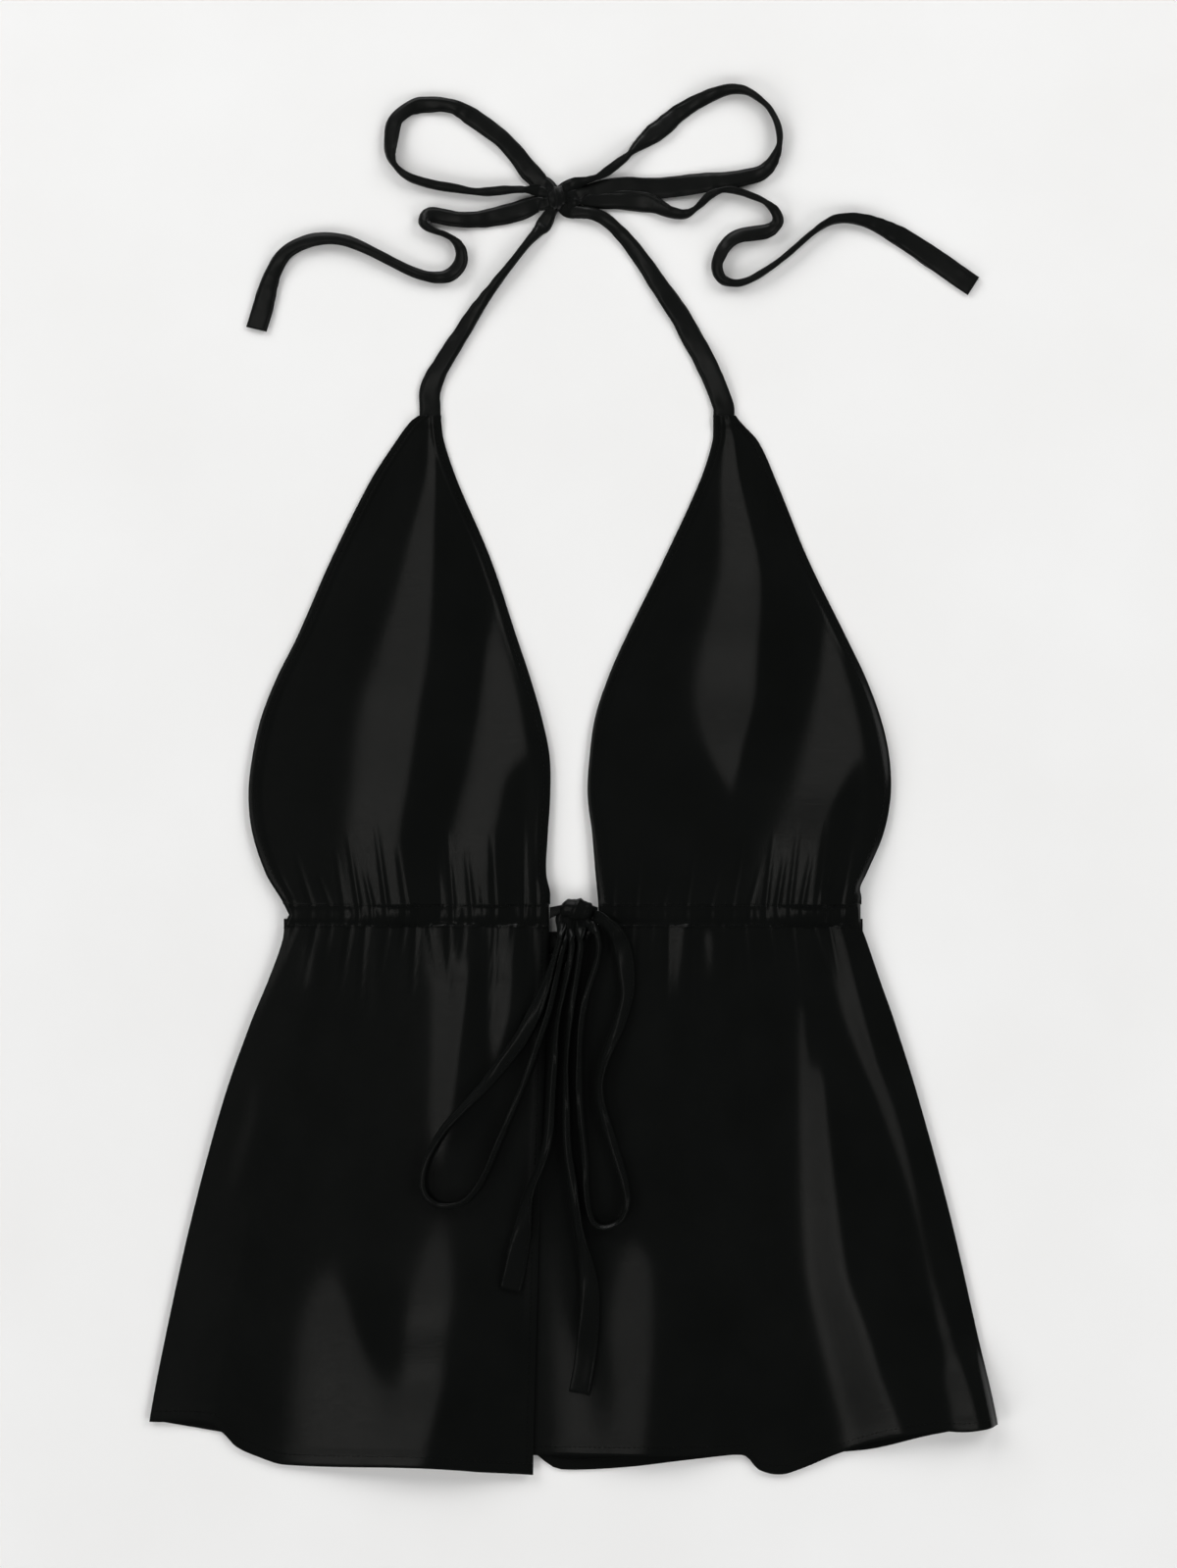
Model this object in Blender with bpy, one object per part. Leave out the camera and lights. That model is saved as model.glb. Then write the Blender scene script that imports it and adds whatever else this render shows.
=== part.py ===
"""Halter neck top laid flat: two gathered bibs, a drawstring waist, a split peplum and two tied bows.

Sizes are in millimetres until a mesh is made, which turns them into metres. X runs across the top, Y up
towards the neck and Z up from the table that it lies on. "Left" is -X, as seen from the front. The origin
is on the table, midway between the hem's two corners and midway between the bib tops and the lowest hem.

Every cloth piece is a panel: an outline from short tables, a wall of one thickness, and folds and gathers
that lift it. A point of a panel is named by u, from its centre edge (0) to its side edge (1), and by v,
from its gathered seam (0) to its far edge (1).
"""

import math
from collections import namedtuple

import bmesh
import bpy
from mathutils import Vector

# ---------------------------------------------------------------- driving dimensions, in millimetres
MM = 0.001                  # metres in a millimetre
CLOTH = 1.3                 # thickness of a cloth wall
GAP = 0.3                   # clearance at a seam and between layers
BIB_TOP = 323.7             # where the neck ties start
WAIST_TOP = 25.5            # top of the front casing
WAIST_SEAM = 11.7           # front casing to peplum
WAIST_HALF = 177.0          # half of the waist laid flat
CASING_BACK_THICK = 3.0     # two layers of cloth with the drawstring between them
CASING_FRONT_THICK = 3.3
CASING_DEPTH = WAIST_TOP - WAIST_SEAM
CASING_BACK_DIP = 8.0       # how far the back waist sags at its middle
CASING_LEFT_MOUTH = -14.7   # the centre-front ends of the two front casings
CASING_RIGHT_MOUTH = 15.3
CASING_LEFT_PINCH = 3.4     # how far the left one's outer end is drawn in, half way down
CASING_RIGHT_END = 175.4
TAPE_WIDTH = 13.0
TAPE_THICK = 1.6
PINCH_WIDTH = 5.5           # a tape where a knot or the casing squeezes it
PINCH_THICK = 2.2
PINCH_LENGTH = 18.0         # over which it spreads out again
KNOT_REACH = 9.0            # over which a tie settles from its knot's height
KNOT_GAP = 0.7              # between a knot and the middle of a tie's end
KNOT_LEAD = 3.0             # for which a tie runs straight out of its knot

# Heights of the layers above the table
OVER_BACK = CLOTH + GAP                     # on the back peplum
OVER_CASING = CASING_BACK_THICK + GAP       # on the back casing
LAP = CLOTH + GAP                           # the left front rises by this over the right one
LAP_EDGE_X = -48.0                          # it has risen fully this far from the centre
LAP_START_X = -85.0

# Gathers
GATHER_HEIGHT = 2.4
GATHER_LONG = 92.0          # every second gather runs this far from the seam
GATHER_SHORT = 44.0

# Spacing of the mesh
DENSE_ROWS = (0.0, 7.0, 16.0, 28.0)         # distances from the seam where each gather has a ridge and a dip
MEDIUM_ROWS = (42.0, 60.0)                  # and where only the ridges are kept
COARSE_ROW = 13.0
COARSE_COLUMN = 12.0
FLAT_ROW = 26.0             # on the back peplum, which is flat
FLAT_COLUMN = 20.0

Edge = namedtuple("Edge", "y centre_x side_x")
Rim = namedtuple("Rim", "u y")
Fold = namedtuple("Fold", "v_start v_end u_start u_mid u_end half_width height")
Panel = namedtuple("Panel", "edges seam far_edge folds gathers phase flat_to base")
Bend = namedtuple("Bend", "x y roll")
Knot = namedtuple("Knot", "x y z half_x half_y half_z")
Exit = namedtuple("Exit", "knot angle")


def table(kind, *rows):
    """Rows of plain sizes as named tuples."""
    return [kind(*row) for row in rows]


# ---------------------------------------------------------------- outlines and folds
BIB_LEFT_EDGES = table(
    Edge,
    (WAIST_TOP + GAP, -14.1, -177.4), (32, -14.1, -181), (44, -16.5, -188), (68, -15.5, -196),
    (92, -14, -198.5), (116, -14.5, -196), (140, -19.5, -190.5), (164, -26.5, -181),
    (188, -34.5, -169), (236, -50.5, -148), (284, -71, -124), (308, -79, -108.5),
    (320, -80.7, -99.5), (BIB_TOP, -80.7, -94.5))
BIB_RIGHT_EDGES = table(
    Edge,
    (WAIST_TOP + GAP, 15.3, 176), (30, 14.9, 175.9), (35, 14.4, 175.2), (44, 13.5, 179.3), (68, 11.5, 189.5),
    (92, 8.7, 194), (116, 10, 193), (140, 13.5, 187.5), (164, 21.5, 178.5),
    (188, 32, 167), (236, 55.5, 143.5), (284, 77.5, 124), (308, 85, 113),
    (320, 85.5, 102), (BIB_TOP, 85.5, 99.3))
BIB_SEAM = table(Rim, (0, WAIST_TOP + GAP), (1, WAIST_TOP + GAP))
BIB_END = table(Rim, (0, BIB_TOP), (1, BIB_TOP))
BIB_LEFT_FOLDS = table(
    Fold,
    (0, 0.97, 0.60, 0.56, 0.33, 22, 4.0),
    (0, 0.60, 0.32, 0.23, 0.10, 13, 4.0),
    (0, 0.38, 0.09, 0.07, 0.04, 8, 2.5),
    (0.05, 0.55, 0.84, 0.86, 0.90, 14, 2.2))
BIB_RIGHT_FOLDS = table(
    Fold,
    (0.08, 1, 0.42, 0.46, 0.44, 17, 4.0),
    (0, 0.66, 0.70, 0.78, 0.92, 17, 4.0),
    (0, 0.36, 0.91, 0.93, 0.97, 9, 3.0),
    (0, 0.45, 0.20, 0.18, 0.14, 12, 2.4))

PEPLUM_LEFT_EDGES = table(
    Edge,
    (WAIST_SEAM - GAP, -14.7, -177), (2, -14.8, -177.8), (-22, -15.5, -186.5), (-46, -16.2, -196.5),
    (-94, -18, -213.5), (-166, -20.5, -233), (-238, -22.5, -249), (-291, -24, -259), (-324, -24.5, -262))
PEPLUM_RIGHT_EDGES = table(
    Edge,
    (WAIST_SEAM - GAP, 9, 176.8), (2, 2, 179.3), (-22, -12, 187.5), (-46, -20, 196),
    (-94, -24.5, 211), (-166, -29, 230.5), (-238, -33, 247), (-291, -35, 259), (-324, -36, 262))
PEPLUM_BACK_EDGES = table(
    Edge,
    (2, -176.5, 176.5), (-22, -185, 185.5), (-46, -195, 194.5), (-94, -212, 209.5),
    (-166, -231.5, 229), (-238, -247.5, 245.5), (-291, -258, 258), (-324, -261, 261))
PEPLUM_SEAM = table(Rim, (0, WAIST_SEAM - GAP), (1, WAIST_SEAM - GAP))
PEPLUM_LEFT_HEM = table(
    Rim,
    (0, -323.7), (0.13, -321.5), (0.21, -319.5), (0.29, -318.3), (0.64, -317.7), (0.72, -312),
    (0.77, -306.5), (0.80, -299.5), (0.84, -293), (1, -291.5))
PEPLUM_RIGHT_HEM = table(
    Rim,
    (0, -312), (0.11, -311.7), (0.465, -311.7), (0.48, -313.5), (0.50, -320.5), (0.545, -323.7),
    (0.59, -320), (0.66, -311.5), (0.76, -301.5), (0.87, -296.3), (0.93, -296.5), (1, -293))
PEPLUM_BACK_HEM = table(
    Rim,
    (0, -290.7), (0.17, -304), (0.38, -310.5), (0.455, -311.5), (0.473, -318.5), (0.49, -321),
    (0.56, -319.5), (0.64, -314.7), (0.70, -311.5), (0.84, -309), (0.92, -300), (1, -292.5))
PEPLUM_LEFT_FOLDS = table(
    Fold,
    (0, 1, 0.37, 0.31, 0.27, 26, 5.0),
    (0, 0.36, 0.22, 0.17, 0.14, 13, 3.0),
    (0.42, 1, 0.52, 0.54, 0.56, 30, 5.0),
    (0.25, 1, 0.74, 0.78, 0.80, 17, 6.0),
    (0, 0.50, 0.62, 0.63, 0.66, 15, 3.0),
    (0, 1, 0.90, 0.92, 0.94, 12, 2.6))
PEPLUM_RIGHT_FOLDS = table(
    Fold,
    (0.12, 1, 0.77, 0.74, 0.71, 20, 5.5),
    (0.40, 1, 0.50, 0.53, 0.55, 22, 8.0),
    (0, 1, 0.88, 0.90, 0.91, 12, 4.0),
    (0, 0.24, 0.35, 0.34, 0.33, 10, 3.0),
    (0.52, 1, 0.22, 0.24, 0.25, 32, 3.0),
    (0, 0.62, 0.55, 0.56, 0.60, 14, 2.6))
PEPLUM_BACK_FOLDS = []

# ---------------------------------------------------------------- knots and the routes of the ties
NECK_KNOT = Knot(-9.9, 456.3, 5.6, 5.8, 7.8, 5.2)
WAIST_KNOT = Knot(2.1, 21.9, 8.0, 8.5, 6.0, 5.2)

STRAP_LEFT = table(
    Bend,
    (-87.6, BIB_TOP + GAP, 0), (-87.6, 330.5, 10), (-87.3, 335.5, 27), (-85.7, 341.5, 43), (-82.5, 348.5, 53),
    (-78.5, 355.5, 59), (-74, 362.7, 61), (-69.5, 370, 63), (-65, 377, 66), (-60.5, 384.2, 70), (-55.5, 391.5, 75),
    (-50.3, 398.7, 80), (-45, 405.8, 83), (-39.5, 413, 85), (-34, 420, 86), (-28.5, 427, 85), (-24, 432, 82),
    (-20.5, 435.7, 77), (-17.3, 439.5, 66))
STRAP_RIGHT = table(
    Bend,
    (92.1, BIB_TOP + GAP, 0), (92, 328.5, 7), (90.3, 334.5, 18), (88, 341.5, 28), (85.3, 348.5, 35), (82, 355.7, 38),
    (78.5, 363, 39), (74.5, 370, 42), (70.8, 377.2, 46), (67, 384.5, 50), (62.5, 391.5, 53), (57.7, 398.5, 56),
    (52.7, 405.7, 60), (48, 413, 63), (43, 420, 66), (38, 427, 68), (34, 431.7, 70), (30.5, 435.7, 72),
    (27, 439.3, 74), (23, 443, 74), (18.5, 446.2, 74), (12, 448.7, 75), (3.5, 449.7, 76))
NECK_LOOP_LEFT = table(
    Bend,
    (-19.5, 467, 40), (-24, 472, 50), (-28.5, 477.5, 56), (-34.5, 485.5, 60), (-42.5, 494, 62),
    (-51, 500.5, 59), (-59.5, 506.5, 58), (-65.5, 510.5, 64), (-71.5, 513.7, 70), (-77, 515, 70),
    (-82.5, 515.7, 69), (-89, 515.5, 66), (-95, 515, 65), (-101, 512.8, 70), (-106.5, 509, 72),
    (-110, 505, 70), (-111.8, 500, 67), (-112.7, 492.5, 69), (-113, 485.5, 75), (-112, 480.5, 82),
    (-109, 475.5, 90), (-104.5, 471, 94), (-97, 467, 96), (-84.5, 463.5, 97), (-70.5, 461.3, 96),
    (-62, 460, 93), (-53, 459.5, 96), (-44.5, 460.2, 97), (-36, 461, 94), (-28, 461, 92), (-22, 460.5, 92))
NECK_LOOP_RIGHT = table(
    Bend,
    (11, 467.5, 88), (19, 470.7, 96), (24, 474, 97), (28.5, 477.5, 96), (32.8, 481, 93), (38, 486, 82),
    (44.5, 491, 66), (51, 496, 52), (57, 500.5, 52), (63, 506, 60), (69.5, 510.5, 65), (76.5, 514.5, 69),
    (84.5, 518.3, 73), (91.5, 521, 77), (99, 522.3, 80), (106.5, 521, 85), (113, 517, 88), (118.5, 512, 90),
    (122, 506.5, 91), (124.3, 500.5, 92), (125.3, 494, 92), (124.7, 488.5, 89), (122.5, 483.3, 82),
    (119.3, 478, 75), (114, 473.5, 68), (104.5, 470.8, 64), (95, 469.3, 63), (87, 468.5, 59),
    (79.5, 467.3, 50), (71.5, 466, 42), (62, 464.7, 38), (52, 463.7, 36), (42.5, 463.5, 30), (34, 463.8, 26),
    (26.5, 463.5, 32), (19, 462.7, 42), (11, 461.3, 56), (3, 460, 65))
NECK_TAIL_LEFT = table(
    Bend,
    (-21.5, 454, 40), (-27.5, 452.3, 48), (-34, 450.3, 52), (-42, 448.2, 54), (-50, 446.5, 58),
    (-58.5, 445.3, 64), (-68.5, 445.2, 68), (-77, 446.4, 66), (-86, 448, 66), (-91, 446.5, 73), (-93.2, 442, 82),
    (-90.5, 438.5, 85), (-85.5, 436, 88), (-79.5, 434, 90), (-74.5, 431.2, 88), (-71, 427, 81),
    (-69.6, 421.8, 75), (-71, 416, 71), (-75.5, 411.5, 72), (-81.5, 409.7, 76), (-90, 410.5, 80),
    (-98.5, 413.3, 80), (-107, 417.3, 81), (-115.5, 421.7, 81), (-124, 426, 80), (-133, 430.2, 78),
    (-140.5, 432.5, 77), (-149, 433.5, 75), (-157.5, 433, 73), (-165.5, 430.8, 72), (-172, 427.7, 71),
    (-177, 424, 70), (-181.3, 418.7, 68), (-184.5, 412.5, 66), (-187.3, 405, 60), (-189.5, 396.5, 51),
    (-191.5, 387, 36), (-194, 376.5, 16))
NECK_TAIL_RIGHT = table(
    Bend,
    (3, 454.2, 114), (9, 454.3, 118), (18.5, 454.3, 121), (27.5, 454.2, 124), (35, 453.7, 127),
    (42, 453, 128), (47, 451.9, 121), (51.5, 450.3, 113), (57.5, 447.5, 105), (63.5, 445.9, 101),
    (69.5, 446, 97), (74.5, 449, 91), (79.5, 453.3, 86), (84, 457.5, 85), (89.5, 460.3, 89), (94.5, 461, 93),
    (101.5, 459.8, 93), (109.5, 457, 92), (115.5, 454.5, 91), (120, 451, 86), (123, 447, 81), (123.8, 443, 78),
    (121.7, 440, 75), (117.5, 437.8, 69), (110.5, 436.6, 68), (102.5, 435.3, 69), (96, 432.3, 70),
    (91.3, 427.3, 73), (88, 421, 74), (86.6, 415.5, 77), (87.6, 410, 78), (91, 405.8, 81), (96, 404, 85),
    (102.5, 404, 86), (110.5, 407, 87), (119, 412.2, 88), (128.5, 419, 90), (137, 426.2, 90), (145, 433.3, 90),
    (153, 439.3, 87), (161, 442.7, 82), (169, 443.2, 79), (177, 442, 75), (185, 439.2, 69), (193, 435.3, 60),
    (201, 431, 52), (209, 426, 47), (217, 420.6, 43), (225.5, 415, 38), (234, 409.2, 30), (244.5, 402.5, 20))
WAIST_LOOP_LEFT = table(
    Bend,
    (-7.5, 10, 85), (-10, -1.5, 83), (-13.5, -14, 78), (-19, -29, 68), (-26, -44.5, 62), (-35, -60.5, 62),
    (-46, -74.5, 65), (-56.5, -87.5, 71), (-68, -99.5, 74), (-79, -112, 77), (-86.5, -124, 80),
    (-91.5, -136, 82), (-92.5, -148, 83), (-88, -156.5, 83), (-78.5, -160, 83), (-68, -157.5, 82),
    (-59.5, -149.5, 80), (-52.5, -137, 80), (-46, -121.5, 80), (-39.5, -106, 82), (-32.5, -89.5, 82),
    (-26, -73.5, 84), (-20, -56.5, 84), (-14.5, -40, 85), (-10.5, -23.5, 86), (-7, -7, 87), (-4, 7, 87))
WAIST_LOOP_RIGHT = table(
    Bend,
    (16.5, 16.5, 68), (24.5, 9.5, 58), (29, -1.5, 50), (31.5, -16, 54), (32.5, -29, 64), (29.5, -42.5, 68),
    (24.5, -55.5, 71), (19, -70, 72), (16, -84.5, 74), (17, -98.5, 74), (21.5, -115, 74), (26.5, -131, 75),
    (31, -146, 77), (32.5, -158.5, 80), (29, -167.5, 83), (20.5, -172.5, 83), (13, -170, 83),
    (9.5, -161.5, 82), (8, -149, 81), (7.5, -133, 80), (5.5, -115, 80), (4, -97, 80), (3.5, -79, 80),
    (4, -58, 82), (6.5, -38.5, 84), (10.5, -23.5, 85), (14.5, -11, 85), (16, 1, 85), (13, 10.5, 85))
WAIST_TAIL_LONG = table(
    Bend,
    (4, 8, 87), (3.5, -4, 86), (1.5, -19, 85), (-1, -34, 84), (-2.5, -49, 82), (-4, -67, 80),
    (-4.5, -85, 80), (-4.5, -103, 79), (-4, -121, 78), (-2, -139, 76), (0.5, -157, 72), (4, -176.5, 66),
    (7.5, -196, 56), (9.5, -217, 42), (8.5, -238, 25), (6.5, -257, 10), (3.5, -273.5, 0))
WAIST_TAIL_SHORT = table(
    Bend,
    (-1, 8, 87), (-2, -4, 87), (-4.5, -19, 86), (-7.5, -34, 85), (-10, -49, 83), (-11.5, -67, 80),
    (-13, -85, 79), (-14, -103, 78), (-16, -119, 76), (-20, -134.5, 74), (-26, -149, 70), (-30.5, -166, 58),
    (-33.5, -182.5, 38), (-35.5, -197, 18), (-38.5, -210.5, 0))


# ---------------------------------------------------------------- smooth curves through tables
def smooth(t):
    """0 to 1 with level ends."""
    t = min(max(t, 0.0), 1.0)
    return t * t * (3 - 2 * t)


def hump(distance, half_width):
    """1 at the middle of a ridge and 0 at its feet."""
    reach = min(abs(distance) / half_width, 1.0)
    return (1 + math.cos(math.pi * reach)) / 2


def slope(rows, key, column, i):
    """Slope of a column at row i of a table sorted by key."""
    low = rows[max(i - 1, 0)]
    high = rows[min(i + 1, len(rows) - 1)]
    return (getattr(high, column) - getattr(low, column)) / (getattr(high, key) - getattr(low, key))


def read(rows, key, column, at):
    """A column of a table at any place, on a smooth curve through its rows."""
    rows = sorted(rows, key=lambda row: getattr(row, key))
    last = len(rows) - 2
    i = next((k for k in range(last + 1) if at <= getattr(rows[k + 1], key)), last)
    start, end = getattr(rows[i], key), getattr(rows[i + 1], key)
    span = end - start
    t = min(max((at - start) / span, 0.0), 1.0)
    a, b = getattr(rows[i], column), getattr(rows[i + 1], column)
    leave = slope(rows, key, column, i) * span
    arrive = slope(rows, key, column, i + 1) * span
    return (a * (1 + 2 * t) * (1 - t) ** 2 + leave * t * (1 - t) ** 2
            + b * t * t * (3 - 2 * t) - arrive * t * t * (1 - t))


# ---------------------------------------------------------------- panels
def place(panel, u, v):
    """Where a point of a panel lies on the table."""
    seam_y = read(panel.seam, "u", "y", u)
    y = seam_y + (read(panel.far_edge, "u", "y", u) - seam_y) * v
    centre_x = read(panel.edges, "y", "centre_x", y)
    side_x = read(panel.edges, "y", "side_x", y)
    return centre_x + (side_x - centre_x) * u, y


def gather_place(panel, i):
    """How far along the seam gather i lies."""
    return (i + 0.5 + 0.2 * math.sin(2.4 * i + panel.phase)) / panel.gathers


def gather_rise(panel, u, distance):
    """Height that the gathers add at a distance from the seam."""
    rise = 0.0
    near = int(u * panel.gathers)
    for i in range(max(near - 1, 0), min(near + 2, panel.gathers)):
        length = (GATHER_SHORT if i % 2 else GATHER_LONG) * (1 + 0.3 * math.sin(3.1 * i + panel.phase))
        size = GATHER_HEIGHT * (0.75 + 0.25 * math.sin(1.3 * i + panel.phase))
        fade = max(1 - distance / length, 0.0) ** 1.5
        rise += size * fade * hump(u - gather_place(panel, i), 0.6 / panel.gathers)
    return rise


def fold_rise(panel, u, v, width):
    """Height that the large folds add. Where two meet, the higher one shows."""
    rise = 0.0
    for fold in panel.folds:
        t = (v - fold.v_start) / (fold.v_end - fold.v_start)
        if not 0 <= t <= 1:
            continue
        bend = 4 * t * (1 - t) * (fold.u_mid - (fold.u_start + fold.u_end) / 2)
        crest = fold.u_start + (fold.u_end - fold.u_start) * t + bend
        start = 1.0 if fold.v_start == 0 else smooth(t / 0.3)
        end = 1.0 if fold.v_end == 1 else smooth((1 - t) / 0.3)
        rise = max(rise, fold.height * start * end * hump((u - crest) * width, fold.half_width))
    return rise


def underside(panel, u, v):
    """Height of the lower face of a panel."""
    x, y = place(panel, u, v)
    width = abs(read(panel.edges, "y", "side_x", y) - read(panel.edges, "y", "centre_x", y))
    distance = abs(y - read(panel.seam, "u", "y", u))
    level = smooth(u / panel.flat_to) if panel.flat_to else 1.0
    return panel.base(x, y) + level * (gather_rise(panel, u, distance) + fold_rise(panel, u, v, width))


def bib_base(x, y):
    """A bib lies on the table and climbs to the casing that it is sewn to."""
    return OVER_CASING * smooth((70 - y) / 40)


def front_base(x, y):
    """A front peplum lies on the back one and climbs over the back casing."""
    return OVER_BACK + (OVER_CASING - OVER_BACK) * smooth((y + 34) / 26)


def lapped_base(x, y):
    """The left front also climbs over the edge of the right one."""
    across = smooth((x - LAP_START_X) / (LAP_EDGE_X - LAP_START_X))
    return front_base(x, y) + LAP * across * smooth((6 - y) / 30)


def back_base(x, y):
    """The back peplum lies on the table."""
    return 0.0


def back_waist(x):
    """Height up the table of the back casing's top edge."""
    return 8.0 + CASING_BACK_DIP * abs(x / WAIST_HALF) ** 1.6


BACK_SEAM = table(Rim, *[(k / 8, back_waist((k / 4 - 1) * WAIST_HALF) - CASING_DEPTH - GAP) for k in range(9)])
PANELS = {
    "bib_left": Panel(BIB_LEFT_EDGES, BIB_SEAM, BIB_END, BIB_LEFT_FOLDS, 17, 0.4, 0, bib_base),
    "bib_right": Panel(BIB_RIGHT_EDGES, BIB_SEAM, BIB_END, BIB_RIGHT_FOLDS, 17, 2.1, 0, bib_base),
    "peplum_front_left": Panel(PEPLUM_LEFT_EDGES, PEPLUM_SEAM, PEPLUM_LEFT_HEM, PEPLUM_LEFT_FOLDS,
                               17, 1.2, 0.16, lapped_base),
    "peplum_front_right": Panel(PEPLUM_RIGHT_EDGES, PEPLUM_SEAM, PEPLUM_RIGHT_HEM, PEPLUM_RIGHT_FOLDS,
                                17, 3.3, 0.18, front_base),
    "peplum_back": Panel(PEPLUM_BACK_EDGES, BACK_SEAM, PEPLUM_BACK_HEM, PEPLUM_BACK_FOLDS,
                         0, 0, 0, back_base),
}
FRONTS = ("peplum_front_left", "peplum_front_right")


def dense_columns(panel):
    """A column on each gather's ridge and in each dip between two."""
    ridges = [gather_place(panel, i) for i in range(panel.gathers)]
    dips = [(a + b) / 2 for a, b in zip(ridges, ridges[1:])]
    return sorted([0.0, 1.0] + ridges + dips)


def medium_columns(panel):
    """A column on each gather's ridge."""
    return [0.0] + [gather_place(panel, i) for i in range(panel.gathers)] + [1.0]


def even_columns(width, spacing):
    """Even columns for a row of some width."""
    count = max(3, round(width / spacing))
    return [k / count for k in range(count + 1)]


def panel_rows(panel):
    """The rows of a panel, each a place v from seam to far edge and the columns u that it has."""
    length = abs(panel.far_edge[-1].y - panel.seam[-1].y)
    rows = []
    if panel.gathers:
        rows += [(d / length, dense_columns(panel)) for d in DENSE_ROWS]
        rows += [(d / length, medium_columns(panel)) for d in MEDIUM_ROWS]
    row_step, column_step = (COARSE_ROW, COARSE_COLUMN) if panel.gathers else (FLAT_ROW, FLAT_COLUMN)
    first = rows[-1][0] * length + row_step if rows else 0.0
    count = round((length - first) / row_step)
    for k in range(count + 1):
        v = (first + (length - first) * k / count) / length
        y = place(panel, 0.5, v)[1]
        width = abs(read(panel.edges, "y", "side_x", y) - read(panel.edges, "y", "centre_x", y))
        rows.append((v, even_columns(width, column_step)))
    return rows


def zip_rows(bm, row_a, row_b):
    """Fill between two rows of (u, vertex) by stepping along whichever one is behind."""
    i = j = 0
    while i < len(row_a) - 1 or j < len(row_b) - 1:
        b_is_done = j == len(row_b) - 1
        if b_is_done or (i < len(row_a) - 1 and row_a[i + 1][0] <= row_b[j + 1][0]):
            bm.faces.new((row_a[i][1], row_a[i + 1][1], row_b[j][1]))
            i += 1
        else:
            bm.faces.new((row_a[i][1], row_b[j + 1][1], row_b[j][1]))
            j += 1


def close_rim(bm, upper, lower):
    """Join the same stretch of the upper and the lower face of a wall."""
    for k in range(len(upper) - 1):
        bm.faces.new((upper[k], upper[k + 1], lower[k + 1], lower[k]))


def wall_from_rows(name, rows, material):
    """A closed wall from rows of (u, low point, high point)."""
    bm = bmesh.new()
    lower = [[(u, bm.verts.new(Vector(low) * MM)) for u, low, high in row] for row in rows]
    upper = [[(u, bm.verts.new(Vector(high) * MM)) for u, low, high in row] for row in rows]
    for face in (lower, upper):
        for row_a, row_b in zip(face, face[1:]):
            zip_rows(bm, row_a, row_b)
    for end in (0, -1):
        close_rim(bm, [vert for u, vert in upper[end]], [vert for u, vert in lower[end]])
        close_rim(bm, [row[end][1] for row in upper], [row[end][1] for row in lower])
    return finish(name, bm, material)


def finish(name, bm, material):
    """Turn a bmesh into a named object with its faces pointing out."""
    bmesh.ops.recalc_face_normals(bm, faces=bm.faces)
    mesh = bpy.data.meshes.new(name)
    bm.to_mesh(mesh)
    bm.free()
    mesh.materials.append(material)
    mesh.shade_smooth()
    mesh.set_sharp_from_angle(angle=math.radians(50))
    piece = bpy.data.objects.new(name, mesh)
    bpy.context.scene.collection.objects.link(piece)
    return piece


def make_panel(name, material):
    """One cloth panel."""
    panel = PANELS[name]
    rows = []
    for v, columns in panel_rows(panel):
        row = []
        for u in columns:
            x, y = place(panel, u, v)
            low = underside(panel, u, v)
            row.append((u, (x, y, low), (x, y, low + CLOTH)))
        rows.append(row)
    return wall_from_rows(name, rows, material)


# ---------------------------------------------------------------- casings
def make_casing(name, start_x, end_x, top_y, low_z, thick, ripples, material, pinch=0.0):
    """A flat drawstring channel with its gathers as ripples on its upper face."""
    columns = [k / (2 * ripples) for k in range(2 * ripples + 1)]
    rows = []
    for up, fullness in ((0.0, 0.45), (0.22, 0.95), (0.5, 1.0), (0.78, 0.95), (1.0, 0.45)):
        row = []
        drawn_in = pinch * (1 - abs(2 * up - 1))
        for k, u in enumerate(columns):
            x = start_x + (end_x + drawn_in - start_x) * u
            y = top_y(x) - CASING_DEPTH * (1 - up)
            ripple = 1.0 if k % 2 else 0.66 + 0.1 * math.sin(1.9 * k)
            high_z = low_z + thick * fullness * ripple
            row.append((u, (x, y, low_z), (x, y, high_z)))
        rows.append(row)
    return wall_from_rows(name, rows, material)


def front_waist(x):
    """Height up the table of the front casing's top edge."""
    return WAIST_TOP


# ---------------------------------------------------------------- knots and ties
def make_knot(name, knot, material):
    """A small firm knot as a rounded lump."""
    bm = bmesh.new()
    bmesh.ops.create_uvsphere(bm, u_segments=16, v_segments=10, radius=MM)
    bmesh.ops.scale(bm, vec=(knot.half_x, knot.half_y, knot.half_z), verts=bm.verts)
    bmesh.ops.translate(bm, vec=Vector((knot.x, knot.y, knot.z)) * MM, verts=bm.verts)
    return finish(name, bm, material)


def leave_knot(exit_at, roll, distance=KNOT_GAP):
    """A bend straight out of a knot, at a distance from its surface."""
    knot, angle = exit_at.knot, math.radians(exit_at.angle)
    x, y = knot.half_x * math.cos(angle), knot.half_y * math.sin(angle)
    out = Vector((x / knot.half_x ** 2, y / knot.half_y ** 2)).normalized() * distance
    return Bend(knot.x + x + out.x, knot.y + y + out.y, roll)


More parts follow.
